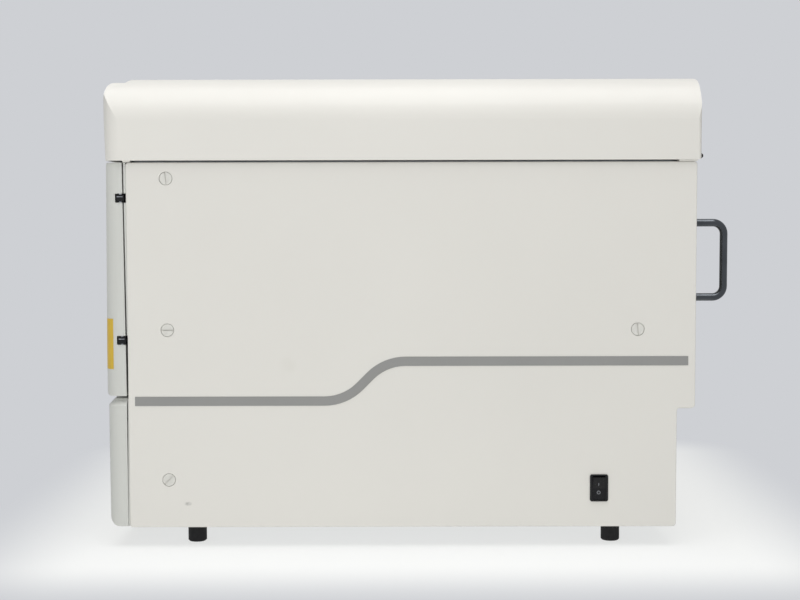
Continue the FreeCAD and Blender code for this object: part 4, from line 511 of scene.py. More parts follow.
def coat(finish: Finish, *names: str) -> None:
    """Give carried-over pieces of the model a finish.

    Args:
        finish: The surface.
        *names: Names of the pieces.
    """
    for name in names:
        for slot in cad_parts[name].material_slots:
            slot.material = finish.material()
        log.info("%s: %s", name, finish.name)


def show(name: str, data: bpy.types.ID) -> Piece:
    """Put a new object into the scene.

    Args:
        name: The object's name.
        data: Its mesh, lamp or camera.

    Returns:
        The object.
    """
    made = bpy.data.objects.new(name, data)
    bpy.context.scene.collection.objects.link(made)
    return made


def add_piece(name: str, mesh: Mesh, finish: Finish, body: str) -> Piece:
    """Put a new piece on a body.

    Args:
        name: The piece's name.
        mesh: Its shape, already in place.
        finish: Its surface.
        body: Body that carries it.

    Returns:
        The new object.
    """
    mesh.name = name
    mesh.materials.clear()
    mesh.materials.append(finish.material())
    piece = show(name, mesh)
    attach(piece, body)
    log.info("%s: %d faces, %s, on %s", name, len(mesh.polygons), finish.name, body)
    return piece


def shell_mesh(shape: bmesh.types.BMesh) -> Mesh:
    """Turn closed shells into a mesh, with their faces outwards.

    Args:
        shape: The shells, which are used up.

    Returns:
        The mesh.
    """
    bmesh.ops.recalc_face_normals(shape, faces=shape.faces)
    mesh = bpy.data.meshes.new("shell")
    shape.to_mesh(mesh)
    shape.free()
    return mesh


def bar_mesh(bars: Iterable[Pair], edge: float) -> Mesh:
    """Make bevelled upright bars.

    Args:
        bars: Lowest and highest corner of each bar.
        edge: Width of the bevel on every edge.

    Returns:
        One mesh of all bars.
    """
    shape = bmesh.new()
    for low, high in bars:
        size = high - low
        placing = Matrix.Translation((low + high) / 2) @ Matrix.Diagonal((*size, 1.0))
        bmesh.ops.create_cube(shape, size=1.0, matrix=placing)
    bmesh.ops.bevel(shape, geom=list(shape.edges), offset=edge, segments=2, affect="EDGES")
    return shell_mesh(shape)


def strip_mesh(strips: Iterable[Sequence[Sequence[Point]]], side: int) -> Mesh:
    """Make upright strips whose edges may lean.

    Args:
        strips: For each strip, the corners round its lower and round its upper end.
        side: 1 for the strips as given, -1 for their mirror image across the object.

    Returns:
        One mesh of all strips.
    """
    shape = bmesh.new()
    for ends in strips:
        low, high = [[shape.verts.new((side * x, y, z)) for x, y, z in end] for end in ends]
        shape.faces.new(low)
        shape.faces.new(high)
        for here in range(len(low)):
            after = (here + 1) % len(low)
            shape.faces.new((low[here], low[after], high[after], high[here]))
    return shell_mesh(shape)


def surface_tree(node: str) -> BVHTree:
    """Give a piece's surface for finding points on it.

    Args:
        node: Name of the piece.

    Returns:
        Its faces as a search tree.
    """
    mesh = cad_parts[node].data
    corners = [vertex.co for vertex in mesh.vertices]
    return BVHTree.FromPolygons(corners, [tuple(face.vertices) for face in mesh.polygons])


def laid_sheet(surface: BVHTree, rows: Sequence[Sequence[Pair]], lift: float,
               closed: bool = False) -> Mesh:
    """Lay a thin sheet on a surface.

    Args:
        surface: What the sheet lies on.
        rows: Rows of rays, each a start and a direction towards the surface.
        lift: Thickness of the sheet, which stands proud of the surface.
        closed: Whether each row runs round to its own start.

    Returns:
        A closed sheet with edges and a back.
    """
    shape = bmesh.new()
    front, back = layers = [], []
    for row in rows:
        for layer in layers:
            layer.append([])
        for start, way in row:
            point, outward, _, _ = surface.ray_cast(start, way)
            if point is None:
                point, outward = start, -way.normalized()
            for layer, share in zip(layers, (1.0, BACK_LIFT)):
                layer[-1].append(shape.verts.new(point + outward * lift * share))
    count = len(rows[0])
    steps = [(left, (left + 1) % count) for left in range(count if closed else count - 1)]
    for upper in range(len(rows) - 1):
        for left, right in steps:
            for layer in layers:
                shape.faces.new([layer[upper][left], layer[upper][right],
                                 layer[upper + 1][right], layer[upper + 1][left]])
    for row in (0, len(rows) - 1):
        for left, right in steps:
            shape.faces.new([front[row][left], front[row][right], back[row][right],
                             back[row][left]])
    if not closed:
        for upper in range(len(rows) - 1):
            for side in (0, count - 1):
                shape.faces.new([front[upper][side], front[upper + 1][side],
                                 back[upper + 1][side], back[upper][side]])
    return shell_mesh(shape)


@dataclass
class GrownParts:
    """Small parts that one node tree sets, kept as a plain piece."""

    name: str

    def inputs(self) -> dict[str, tuple[str, object]]:
        """Give the tree's named inputs, each with its socket type and value."""
        raise NotImplementedError

    def parts(self, tree: Tree, given: Sockets) -> Source:
        """Add the nodes that set the parts.

        Args:
            tree: The tree that takes them.
            given: The tree's inputs by name, with the starting mesh as Points.

        Returns:
            The parts as instances.
        """
        raise NotImplementedError

    def grow(self, start: Mesh, finish: Finish, body: str, like: str) -> Piece:
        """Run the tree on a mesh and turn the result into a plain mesh.

        Args:
            start: Mesh that the tree starts from.
            finish: Surface of the parts.
            body: Body that carries them.
            like: Not used.

        Returns:
            The finished piece.
        """
        tree = bpy.data.node_groups.new(self.name + "_tree", "GeometryNodeTree")
        face = tree.interface
        face.new_socket("Points", in_out="INPUT", socket_type="NodeSocketGeometry")
        face.new_socket("Parts", in_out="OUTPUT", socket_type="NodeSocketGeometry")
        inputs = {**self.inputs(), "Finish": ("NodeSocketMaterial", finish.material())}
        values = {face.new_socket(label, in_out="INPUT", socket_type=kind).identifier: value
                  for label, (kind, value) in inputs.items()}
        given = add_node(tree, "NodeGroupInput").outputs
        real = add_node(tree, "GeometryNodeRealizeInstances", {
            "Geometry": self.parts(tree, given)})
        done = add_node(tree, "GeometryNodeSetMaterial", {
            "Geometry": real, "Material": given["Finish"]})
        add_node(tree, "NodeGroupOutput", {0: done})
        host = show(self.name + "_host", start)
        modifier = host.modifiers.new("grow", "NODES")
        modifier.node_group = tree
        for identifier, value in values.items():
            modifier[identifier] = value
        evaluated = host.evaluated_get(bpy.context.evaluated_depsgraph_get())
        mesh = bpy.data.meshes.new_from_object(evaluated)
        bpy.data.objects.remove(host)
        return add_piece(self.name, mesh, finish, body)


class Drive(Enum):
    """Recess in a screw's head, by the number of its flat sides."""

    HEXAGON = 6
    SLOT = 2


@dataclass
class ScrewHeads(GrownParts):
    """Screw heads at the points of a mesh, each turned by chance."""

    radius_mm: float
    height_mm: float
    recess_mm: float
    recess_depth_mm: float
    drive: Drive = Drive.HEXAGON
    taper: float = 0.84
    slot_reach: float = 3.0
    sides: int = 24
    seed: int = 7

    def inputs(self) -> dict[str, tuple[str, object]]:
        """Give the heads' sizes and the seed of their turns.

        Returns:
            Socket type and value of each named input.
        """
        sizes = {"Radius": self.radius_mm, "Height": self.height_mm, "Recess": self.recess_mm,
                 "Recess Depth": self.recess_depth_mm}
        return {**{label: ("NodeSocketFloat", size * MM) for label, size in sizes.items()},
                "Seed": ("NodeSocketInt", self.seed)}

    def parts(self, tree: Tree, given: Sockets) -> Source:
        """Cut the recess into a head, and set the head at every seat.

        Args:
            tree: The tree that takes the nodes.
            given: The tree's inputs by name.

        Returns:
            The heads as instances.
        """
        top = add_node(tree, "ShaderNodeMath", {0: given["Radius"], 1: self.taper},
                       operation="MULTIPLY")
        head = add_node(tree, "GeometryNodeMeshCone", {
            "Vertices": self.sides, "Radius Top": top, "Radius Bottom": given["Radius"],
            "Depth": given["Height"]})
        # Half of the tool stands above the head's face, so it is twice as deep as the recess.
        deep = add_node(tree, "ShaderNodeMath", {0: given["Recess Depth"], 1: 2.0},
                        operation="MULTIPLY")
        if self.drive is Drive.HEXAGON:
            tool = add_node(tree, "GeometryNodeMeshCylinder", {
                "Vertices": self.drive.value, "Radius": given["Recess"], "Depth": deep})
        else:
            across = add_node(tree, "ShaderNodeMath", {0: given["Radius"], 1: self.slot_reach},
                              operation="MULTIPLY")
            size = add_node(tree, "ShaderNodeCombineXYZ", {0: across, 1: given["Recess"], 2: deep})
            tool = add_node(tree, "GeometryNodeMeshCube", {"Size": size})
        lift = add_node(tree, "ShaderNodeCombineXYZ", {2: given["Height"]})
        raised = add_node(tree, "GeometryNodeTransform", {"Geometry": tool, "Translation": lift})
        screw = add_node(tree, "GeometryNodeMeshBoolean", {
            "Mesh 1": head, "Mesh 2": raised}, operation="DIFFERENCE")
        facing = add_node(tree, "GeometryNodeInputNamedAttribute", {"Name": "facing"},
                          data_type="FLOAT_VECTOR").outputs["Attribute"]
        upright = add_node(tree, "FunctionNodeAlignRotationToVector", {"Vector": facing}, axis="Z")
        angle = add_node(tree, "FunctionNodeRandomValue", {
            "Max": math.tau, "Seed": given["Seed"]}, data_type="FLOAT").outputs[1]
        turned = add_node(tree, "FunctionNodeAxisAngleToRotation", {
            "Axis": (0, 0, 1), "Angle": angle})
        rotation = add_node(tree, "FunctionNodeRotateRotation", {
            "Rotation": upright, "Rotate By": turned}, rotation_space="LOCAL")
        return add_node(tree, "GeometryNodeInstanceOnPoints", {
            "Points": given["Points"], "Instance": screw, "Rotation": rotation})

    def build(self, spots: Iterable[Pair], finish: Finish, body: str) -> Piece:
        """Set one screw at every spot.

        Args:
            spots: Seat of each screw and the way that its head faces.
            finish: Surface of the screws.
            body: Body that carries them.

        Returns:
            The finished piece.
        """
        seats, ways = zip(*spots)
        points = bpy.data.meshes.new(self.name + "_seats")
        points.from_pydata(seats, [], [])
        facing = points.attributes.new("facing", "FLOAT_VECTOR", "POINT")
        facing.data.foreach_set("vector", [value for way in ways for value in way])
        return self.grow(points, finish, body, "case_screws")


@dataclass
class GripRibs(GrownParts):
    """Ribs along the instrument's depth, round a ring that is turned by hand."""

    radius_mm: float
    length_mm: float
    centre: Vector
    rib_mm: float = 1.6
    rise_mm: float = 0.8
    count: int = 72

    def inputs(self) -> dict[str, tuple[str, object]]:
        """Give the ribs' number, place and size.

        Returns:
            Socket type and value of each named input.
        """
        # Half of a rib is sunk in the ring, so it is twice as thick as it stands proud.
        size = (self.rise_mm * 2 * MM, self.rib_mm * MM, self.length_mm * MM)
        return {"Count": ("NodeSocketInt", self.count),
                "Radius": ("NodeSocketFloat", self.radius_mm * MM),
                "Size": ("NodeSocketVector", size),
                "Centre": ("NodeSocketVector", tuple(self.centre))}

    def parts(self, tree: Tree, given: Sockets) -> Source:
        """Set a rib at every point of a circle, and lay the circle round the ring.

        Args:
            tree: The tree that takes the nodes.
            given: The tree's inputs by name.

        Returns:
            The ribs as instances.
        """
        ring = add_node(tree, "GeometryNodeMeshCircle", {
            "Vertices": given["Count"], "Radius": given["Radius"]})
        rib = add_node(tree, "GeometryNodeMeshCube", {"Size": given["Size"]})
        outward = add_node(tree, "FunctionNodeAlignRotationToVector", {
            "Vector": add_node(tree, "GeometryNodeInputPosition")}, axis="X")
        placed = add_node(tree, "GeometryNodeInstanceOnPoints", {
            "Points": ring, "Instance": rib, "Rotation": outward})
        return add_node(tree, "GeometryNodeTransform", {
            "Geometry": placed, "Translation": given["Centre"], "Rotation": (math.pi / 2, 0, 0)})


@dataclass
class SubAssembly:
    """A part of the instrument that is dressed on its own."""

    body: str = "chassis"

    def build(self) -> None:
        """Make the pieces of this sub-assembly and give them their finish."""
        raise NotImplementedError


@dataclass
class Case(SubAssembly):
    """Top cover, side covers with their stripe, lower front panel, feet and case screws."""

    def build(self) -> None:
        """Dress the outer shell."""
        coat(COVER_ENAMEL, "top_cover")
        coat(DOOR_ENAMEL_AND_PAINTED_SHADE, "lower_front_panel")
        coat(PANEL_ENAMEL, "right_side_cover", "left_side_cover", "rear_panel")
        coat(TRIM_FILM, "side_stripes")
        coat(FOOT_RUBBER, "feet")
        coat(BLACK_OXIDE, "case_screws")
        coat(POLISHED_STEEL, "rear_handles")
        coat(ZINC_SHEET, "base_pan", "right_chassis_side", "left_chassis_side")
        for side in ("right", "left"):
            for row in ("upper", "middle", "lower", "rear"):
                coat(HEAD_ENAMEL, f"{side}_{row}_latch")


@dataclass
class FrontDoor(SubAssembly):
    """Hinged door with its blank label, strike plate, hinge and magnet.

    Names with leaf size the hinge leaves, and names with jamb the frame edges beside the door.
    The levels of the fascia's screws are shares of its height.
    """

    body: str = "door"
    label_low: float = 218.7 * MM
    label_tall: float = 61.2 * MM
    label_wide: float = 78.0 * MM
    label_wrap: float = math.radians(64)
    label_thick: float = 0.25 * MM
    label_columns: int = 28
    label_rows: int = 10
    corner: float = 18.0 * MM
    leaf_thick: float = 1.0 * MM
    leaf_rise: float = 1.6 * MM
    leaf_reach: float = 3.6 * MM
    leaf_proud: float = 0.15 * MM
    leaf_sunk: float = 0.6 * MM
    leaf_margin: float = 18.0 * MM
    jamb_sunk: float = 1.5 * MM
    jamb_thick: float = 3.0 * MM
    jamb_gap: float = 0.15 * MM
    jamb_open: float = 0.7 * MM
    jamb_mouth: float = 1.2 * MM
    jamb_break: float = 5.6 * MM
    screw_inset: float = 9.0 * MM
    screw_levels: tuple[float, ...] = (0.06, 0.3, 0.94)

    def label(self) -> None:
        """Lay the blank label on the door's front and round its right corner."""
        low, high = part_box("front_door")
        centre = Vector((high.x - self.corner, low.y + self.corner, 0))
        flat = self.label_wide - self.corner * self.label_wrap
        rays = []
        for row in range(self.label_rows + 1):
            z = self.label_low + self.label_tall * row / self.label_rows
            rays.append([])
            for column in range(self.label_columns + 1):
                along = self.label_wide * column / self.label_columns
                if along < flat:
                    start = Vector((centre.x - flat + along, low.y - self.corner, z))
                    way = Vector((0, 1, 0))
                else:
                    angle = (along - flat) / self.corner
                    out = Vector((math.sin(angle), -math.cos(angle), 0))
                    start = centre + out * self.corner * 2 + Vector((0, 0, z))
                    way = -out
                rays[-1].append((start, way))
        mesh = laid_sheet(surface_tree("front_door"), rays, self.label_thick)
        add_piece("blank_label", mesh, LABEL_VINYL, self.body)

    def hinge_leaves(self) -> None:
        """Show the edge of the steel leaf that each hinge block is moulded on."""
        low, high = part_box("door_hinge_knuckles")
        pins_low, pins_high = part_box("door_hinge_pins")
        axis = (pins_low + pins_high) / 2
        tall = self.leaf_thick / 2
        bars = []
        for level in (low.z + self.leaf_margin + self.leaf_rise,
                      high.z - self.leaf_margin + self.leaf_rise):
            near = Vector((high.x - self.leaf_sunk, axis.y - self.leaf_reach, level - tall))
            far = Vector((high.x + self.leaf_proud, axis.y + self.leaf_reach, level + tall))
            bars.append((near, far))
        add_piece("hinge_leaf_edges", bar_mesh(bars, self.leaf_proud), GROUND_STEEL, "chassis")

    def jambs(self) -> None:
        """Narrow the slits beside door and lower panel by the folded edge of the frame.

        The edge follows the door's leaning rear, keeps outside the circle of the door's corner,
        and is broken at the hinge blocks. The slits widen towards the middle of the front.
        """
        door_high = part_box("front_door")[1]
        panel_low, panel_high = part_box("lower_front_panel")
        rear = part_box("right_side_cover")[0].y - self.jamb_gap
        pins_low, pins_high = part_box("door_hinge_pins")
        axis = (pins_low + pins_high) / 2
        blocks_low, blocks_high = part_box("door_hinge_knuckles")
        door = surface_tree("front_door")
        panel = surface_tree("lower_front_panel")
        outer = door_high.x - self.jamb_sunk
        inner = outer - self.jamb_thick

        def back(moulding: BVHTree, z: float) -> float:
            """Give the rear of a moulding's side at a level."""
            return moulding.ray_cast(Vector((outer, rear, z)), Vector((0, -1, 0)))[0].y

        def ends(levels: Iterable[tuple[float, float]]) -> list[list[Point]]:
            """Give the corners round a strip's ends, each from its level and its front."""
            return [[(inner, near, z), (outer, near, z), (outer, rear, z), (inner, rear, z)]
                    for z, near in levels]

        def front(z: float, gap: float = self.jamb_gap) -> tuple[float, float]:
            """Give a level, and the foremost place that the swinging door leaves free there."""
            swing = math.hypot(door_high.x - axis.x, back(door, z) - axis.y)
            return z, axis.y + swing + gap

        foot = back(panel, (panel_low.z + panel_high.z) / 2)
        margin = self.leaf_margin + self.jamb_break
        strips = [ends(levels) for levels in (
            (front(blocks_low.z + margin, self.jamb_open), front(blocks_high.z - margin)),
            (front(blocks_high.z - self.leaf_margin + self.jamb_break),
             front(door_high.z - self.jamb_gap)),
            ((panel_low.z + self.jamb_gap, foot + self.jamb_gap),
             (panel_high.z - self.jamb_gap, foot + self.jamb_mouth)))]
        for side, label in ((1, "right"), (-1, "left")):
            add_piece(label + "_frame_edge", strip_mesh(strips, side), DOOR_ENAMEL_AND_PAINTED_SHADE, "chassis")

    def fascia_screws(self) -> None:
        """Screw the inner fascia to the chassis at both sides."""
        low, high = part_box("inner_fascia")
        spots = [(Vector((x, low.y, low.z + (high.z - low.z) * level)), Vector((0, -1, 0)))
                 for x in (low.x + self.screw_inset, high.x - self.screw_inset)
                 for level in self.screw_levels]
        ScrewHeads("fascia_screws", radius_mm=3.2, height_mm=1.8, recess_mm=1.5,
                   recess_depth_mm=1.1).build(spots, BRIGHT_ZINC, "chassis")

    def build(self) -> None:
        """Dress the door and its fittings."""
        coat(DOOR_ENAMEL_AND_PAINTED_SHADE, "front_door")
        coat(GROUND_STEEL, "door_hinge_pins", "door_strike")
        coat(BLACK_ABS, "door_hinge_knuckles", "door_magnet")
        coat(POWDER_COAT, "inner_fascia")
        self.label()
        self.hinge_leaves()
        self.jambs()
        self.fascia_screws()


@dataclass
class PowerSwitch(SubAssembly):
    """Rocker switch with its two printed marks."""

    body: str = "rocker"
    mark_level: float = 5.1 * MM
    mark_shift: float = -0.5 * MM
    stroke: float = 0.7 * MM
    bar: float = 3.2 * MM
    ring: float = 1.85 * MM
    ink: float = 0.06 * MM
    ring_steps: int = 32
    ray_start: float = 10.0 * MM

    def marks(self) -> None:
        """Print the bar of "on" above and the ring of "off" below."""
        low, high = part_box("power_rocker")
        middle = (low + high) / 2 + Vector((0, self.mark_shift, 0))
        surface = surface_tree("power_rocker")

        def ray(across: float, up: float) -> Pair:
            """Give a ray towards the rocker at a distance from its middle."""
            start = Vector((high.x + self.ray_start, middle.y + across, middle.z + up))
            return start, Vector((-1, 0, 0))

        half = self.stroke / 2
        on = [[ray(side * half, self.mark_level + end * self.bar / 2) for side in (-1, 1)]
              for end in (-1, 1)]
        turns = [math.tau * step / self.ring_steps for step in range(self.ring_steps)]
        off = [[ray(math.cos(turn) * reach, math.sin(turn) * reach - self.mark_level)
                for turn in turns] for reach in (self.ring - half, self.ring + half)]
        for name, rows, closed in (("on_mark", on, False), ("off_mark", off, True)):
            mesh = laid_sheet(surface, rows, self.ink, closed)
            add_piece(name, mesh, PRINT_INK, self.body)

    def build(self) -> None:
        """Dress the switch."""
        coat(BLACK_ABS, "switch_housing")
        coat(ROCKER_NYLON, "power_rocker")
        self.marks()


@dataclass
class Rear(SubAssembly):
    """Exhaust fan, mains inlet and data sockets, with the screws of fan and inlet."""

    fan_hole_pitch: float = 105.0 * MM
    inlet_screw_pitch: float = 40.0 * MM
    blade_pitch: float = 7.0 * MM
    blade_wide: float = 2.3 * MM
    blade_tall: float = 4.3 * MM
    blade_deep: float = 17.0 * MM
    blade_sunk: float = 3.6 * MM
    blade_edge: float = 0.46 * MM
    ports: int = 3
    port_edge: float = 10.0 * MM
    port_pitch: float = 32.0 * MM
    tongue_root: float = 2.0 * MM
    tongue_sunk: float = 4.0 * MM
    tongue_wide: float = 9.0 * MM
    tongue_thick: float = 1.8 * MM
    tongue_edge: float = 0.3 * MM

    def build(self) -> None:
        """Dress the rear fittings and set their screws."""
        coat(BLACK_ABS, "exhaust_fan_frame", "exhaust_fan_rotor", "power_inlet")
        coat(BRIGHT_ZINC, "data_ports")
        back = Vector((0, 1, 0))
        low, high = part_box("exhaust_fan_frame")
        fan = (low + high) / 2
        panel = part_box("rear_panel")[1].y
        half = self.fan_hole_pitch / 2
        spots = [(Vector((fan.x + across * half, panel, fan.z + up * half)), back)
                 for across in (-1, 1) for up in (-1, 1)]
        ScrewHeads("fan_screws", radius_mm=3.4, height_mm=2.0, recess_mm=1.6,
                   recess_depth_mm=1.2).build(spots, BLACK_OXIDE, self.body)
        low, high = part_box("power_inlet")
        inlet = (low + high) / 2
        half = self.inlet_screw_pitch / 2
        spots = [(Vector((inlet.x + side * half, high.y, inlet.z)), back) for side in (-1, 1)]
        ScrewHeads("inlet_screws", radius_mm=2.6, height_mm=1.0, recess_mm=0.5,
                   recess_depth_mm=0.6, drive=Drive.SLOT).build(spots, BLACK_OXIDE, self.body)
        self.blades(inlet, high.y)
        self.tongues()

    def blades(self, inlet: Vector, face: float) -> None:
        """Sheathe the inlet's three blades in metal.

        Args:
            inlet: Middle of the inlet.
            face: Level of its outer face along the depth.
        """
        bars = []
        for side, rise in ((-1, -1), (0, 1), (1, -1)):
            x = inlet.x + side * self.blade_pitch
            z = inlet.z + rise * self.blade_tall / 2
            half = Vector((self.blade_wide / 2, 0, self.blade_tall / 2))
            bars.append((Vector((x, face - self.blade_deep, z)) - half,
                         Vector((x, face - self.blade_sunk, z)) + half))
        add_piece("inlet_blades", bar_mesh(bars, self.blade_edge), TINNED_BRASS, self.body)

    def tongues(self) -> None:
        """Put the contact tongue into each data socket."""
        low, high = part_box("data_ports")
        middle = (low.z + high.z) / 2
        bars = []
        for place in range(self.ports):
            x = low.x + self.port_edge + place * self.port_pitch
            bars.append((Vector((x - self.tongue_wide / 2, low.y + self.tongue_root, middle)),
                         Vector((x + self.tongue_wide / 2, high.y - self.tongue_sunk,
                                 middle + self.tongue_thick))))
        add_piece("port_tongues", bar_mesh(bars, self.tongue_edge), BLACK_ABS, self.body)


@dataclass
class PlateDeck(SubAssembly):
    """Deck, bridge and magazines, with the screws that hold the bridge."""

    screw_inset: float = 8.0 * MM

    def build(self) -> None:
        """Dress the deck and set a screw near each corner of the bridge."""
        coat(ANODISED_PLATE, "deck_plate", "bridge_plate", "rail_blocks")
        coat(ANODISED_PROFILE, "bridge_pillars", "input_magazine", "output_magazine")
        low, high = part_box("bridge_plate")
        spots = [(Vector((x, y, high.z)), Vector((0, 0, 1)))
                 for x in (low.x + self.screw_inset, high.x - self.screw_inset)
                 for y in (low.y + self.screw_inset, high.y - self.screw_inset)]
        ScrewHeads("bridge_screws", radius_mm=3.4, height_mm=2.2, recess_mm=1.7,
                   recess_depth_mm=1.3).build(spots, BRIGHT_ZINC, self.body)


@dataclass
class Transport(SubAssembly):
    """Plate shuttle, its drive, and the three lifts."""

    def build(self) -> None:
        """Dress the moving parts inside."""
        coat(ANODISED_PLATE, "plate_shuttle", "input_lift", "contact_lift", "output_lift",
             "drive_pulley", "idler_pulley")
        coat(GROUND_STEEL, "shuttle_rails", "lift_guides")
        for bay in ("input", "contact", "output"):
            name = bay + "_lift_screw"
            low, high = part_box(name)
            axis = (low + high) / 2 / MM
            coat(ThreadFinish("rolled_thread_steel_" + bay, "#B9BCBF", 0.28, metallic=1.0,
                              drift=0.05, drift_mm=12, grain_mm=0.8, relief_mm=0.003,
                              axis_mm=(axis.x, axis.y)), name)
        coat(BELT_RUBBER, "drive_belt")
        coat(MOTOR_LACQUER, "drive_motor", "lift_motors")


@dataclass
class Optics(SubAssembly):
    """Light-tight housing, mirror, lens, camera and their bench.

    Each ring of the lens has its ribs' name, its radius in millimetres, and its place as a
    share of the barrel's length.
    """

    barrel_root: float = 7.0 * MM
    ring_share: float = 0.11
    rings: tuple[tuple[str, float, float], ...] = (("iris_ribs", 36.0, 0.27),
                                                   ("focus_ribs", 38.0, 0.51))

    def build(self) -> None:
        """Dress the optics."""
        coat(FLAT_BLACK, "optics_housing")
        coat(MIRROR_SILVER, "fold_mirror")
        coat(ANODISED_BLACK, "lens_barrel", "camera_body")
        coat(LENS_GLASS, "lens_glass")
        coat(ANODISED_PLATE, "optics_bench")
        low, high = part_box("lens_barrel")
        centre = (low + high) / 2
        long = high.y - self.barrel_root - low.y
        for name, radius, part in self.rings:
            spot = Vector((centre.x, low.y + self.barrel_root + long * part, centre.z))
            GripRibs(name, radius, long * self.ring_share / MM, spot).grow(
                bpy.data.meshes.new(name + "_seat"), ANODISED_BLACK, self.body, "lens_barrel")


@dataclass
class Electronics(SubAssembly):
    """Power supply and control board on the base pan, with its moulded parts.

    Each chip has its place on the board, its width, length and height, in millimetres.
    """

    standoff: float = 8.0 * MM
    board_thick: float = 1.6 * MM
    skin: float = 0.3 * MM
    chips: tuple[tuple[float, ...], ...] = ((30, 30, 30, 30, 4), (90, 30, 50, 16, 10),
                                            (30, 90, 16, 40, 12), (80, 80, 40, 40, 6),
                                            (145, 70, 14, 60, 9))

    def build(self) -> None:
        """Dress the electronics."""
        coat(ZINC_SHEET, "power_supply")
        coat(SOLDER_MASK, "control_board")
        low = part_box("control_board")[0]
        floor = low.z + self.standoff + self.board_thick
        bars = []
        for x, y, wide, long, tall in self.chips:
            near = Vector((low.x + x * MM - self.skin, low.y + y * MM - self.skin, floor))
            far = Vector((low.x + (x + wide) * MM + self.skin, low.y + (y + long) * MM + self.skin,
                          floor + tall * MM + self.skin))
            bars.append((near, far))
        add_piece("board_parts", bar_mesh(bars, self.skin), CHIP_EPOXY, self.body)


@dataclass(frozen=True)
class Lamp:
    """A soft square lamp: its place and side in metres, its power in watts.

    One that isn't mirrored lights the object but leaves no image on glossy surfaces.
    """

    name: str
    place: Point
    side: float
    watts: float
    mirrored: bool = True

    def hang(self, aim: Vector) -> None:
        """Hang the lamp.

        Args:
            aim: What it points at.
        """
        data = bpy.data.lights.new(self.name, "AREA")
        data.size = self.side
        data.energy = self.watts
        lamp = show(self.name, data)
        lamp.visible_glossy = self.mirrored
        lamp.location = self.place
        way = aim - Vector(self.place)
        lamp.rotation_euler = way.to_track_quat("-Z", "Y").to_euler()


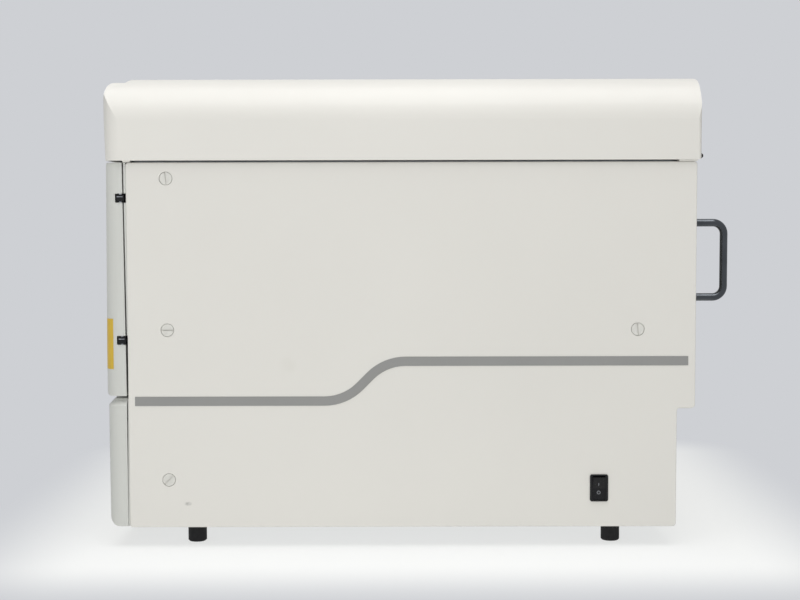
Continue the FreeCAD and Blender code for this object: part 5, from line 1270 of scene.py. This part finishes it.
@dataclass
class Studio:
    """Camera, lamps, world and floor of the picture.

    The floor is white as far as table from the middle, and takes on the backdrop colour over the
    length of fade. Its glow is the share of white that no shadow darkens.
    """

    eye: Point = (2.047, -0.0235, 0.4075)
    pitch: float = math.radians(3.457)
    roll: float = 0.0022
    lens_mm: float = 65.25
    sensor_mm: float = 36
    sight_end: float = 100
    lamps: tuple[Lamp, ...] = (Lamp("overhead", (0.9, -0.05, 2.5), 2.2, 43.5),
                               Lamp("side_fill", (2.6, -0.35, 0.35), 1.4, 17.5, mirrored=False))
    aim: Point = (0, 0, 0.25)
    sky: float = 0.33
    white: str = "#F9FAF9"
    backdrop: str = "#CED0D4"
    table: float = 0.38
    fade: float = 0.2
    glow: float = 0.70
    reach: float = 14.0

    def camera(self) -> None:
        """Set the camera where the photograph was taken."""
        sight = Vector((-math.cos(self.pitch), 0, -math.sin(self.pitch)))
        level = Vector((0, 1, 0))
        upward = level.cross(sight)
        right = level * math.cos(self.roll) - upward * math.sin(self.roll)
        up = upward * math.cos(self.roll) + level * math.sin(self.roll)
        placing = Matrix((right, up, -sight)).transposed().to_4x4()
        placing.translation = Vector(self.eye)
        data = bpy.data.cameras.new("camera")
        data.lens = self.lens_mm
        data.sensor_width = self.sensor_mm
        data.clip_end = self.sight_end
        camera = show("camera", data)
        camera.matrix_world = placing
        bpy.context.scene.camera = camera

    def world(self) -> None:
        """Light the object evenly, and show the backdrop colour to camera and gloss."""
        world = bpy.data.worlds.new("studio")
        bpy.context.scene.world = world
        world.use_nodes = True
        tree = world.node_tree
        tree.nodes.clear()
        lighting = add_node(tree, "ShaderNodeBackground", {
            "Color": (1, 1, 1, 1), "Strength": self.sky})
        seen = add_node(tree, "ShaderNodeBackground", {"Color": linear(self.backdrop)})
        mix = add_node(tree, "ShaderNodeMixShader", {0: self.seen_ray(tree), 1: lighting, 2: seen})
        add_node(tree, "ShaderNodeOutputWorld", {"Surface": mix})

    def seen_ray(self, tree: Tree) -> Source:
        """Tell the rays that show a surface from those that only light others.

        Args:
            tree: Nodes of the world or of a material.

        Returns:
            1 for camera, glossy and transmission rays, and 0 for lighting rays.
        """
        path = add_node(tree, "ShaderNodeLightPath").outputs
        pair = add_node(tree, "ShaderNodeMath", {
            0: path["Is Camera Ray"], 1: path["Is Glossy Ray"]}, operation="MAXIMUM")
        return add_node(tree, "ShaderNodeMath", {
            0: pair, 1: path["Is Transmission Ray"]}, operation="MAXIMUM")

    def floor(self) -> None:
        """Lay a pale floor: white round the object, fading into the backdrop colour."""
        shape = bmesh.new()
        bmesh.ops.create_grid(shape, x_segments=1, y_segments=1, size=self.reach)
        mesh = bpy.data.meshes.new("floor")
        shape.to_mesh(mesh)
        shape.free()
        material = bpy.data.materials.new("pale_floor")
        material.use_nodes = True
        tree = material.node_tree
        tree.nodes.clear()
        place = add_node(tree, "ShaderNodeTexCoord").outputs["Object"]
        away = add_node(tree, "ShaderNodeVectorMath", {0: place}, operation="ABSOLUTE")
        past = add_node(tree, "ShaderNodeVectorMath", {
            0: away, 1: (self.table, self.table, 0)}, operation="SUBTRACT")
        beyond = add_node(tree, "ShaderNodeVectorMath", {0: past, 1: (0, 0, 0)},
                          operation="MAXIMUM")
        distance = add_node(tree, "ShaderNodeVectorMath", {0: beyond},
                            operation="LENGTH").outputs["Value"]
        fade = add_node(tree, "ShaderNodeMapRange", {
            "Value": distance, "From Max": self.fade}, interpolation_type="SMOOTHSTEP")
        cloth = add_node(tree, "ShaderNodeBsdfDiffuse", {"Color": linear(self.white)})
        glow = add_node(tree, "ShaderNodeEmission", {"Color": linear(self.white)})
        lift = add_node(tree, "ShaderNodeMath", {0: self.seen_ray(tree), 1: self.glow},
                        operation="MULTIPLY")
        matt = add_node(tree, "ShaderNodeMixShader", {0: lift, 1: cloth, 2: glow})
        far = add_node(tree, "ShaderNodeEmission", {"Color": linear(self.backdrop)})
        share = add_node(tree, "ShaderNodeMath", {0: fade, 1: self.seen_ray(tree)},
                         operation="MULTIPLY")
        surface = add_node(tree, "ShaderNodeMixShader", {0: share, 1: matt, 2: far})
        add_node(tree, "ShaderNodeOutputMaterial", {"Surface": surface})
        mesh.materials.append(material)
        ground = show("floor", mesh)

    def build(self) -> None:
        """Set up the whole studio."""
        bpy.context.scene.view_settings.view_transform = "Standard"
        self.camera()
        self.world()
        self.floor()
        for lamp in self.lamps:
            lamp.hang(Vector(self.aim))


def main() -> None:
    """Build the studio and every sub-assembly in order."""
    logging.basicConfig(level=logging.INFO, format="%(message)s")
    Studio().build()
    for part in (Case(), FrontDoor(), PowerSwitch(), Rear(), PlateDeck(), Transport(), Optics(),
                 Electronics()):
        log.info("Building %s", type(part).__name__)
        part.build()


if __name__ == "__main__":
    main()
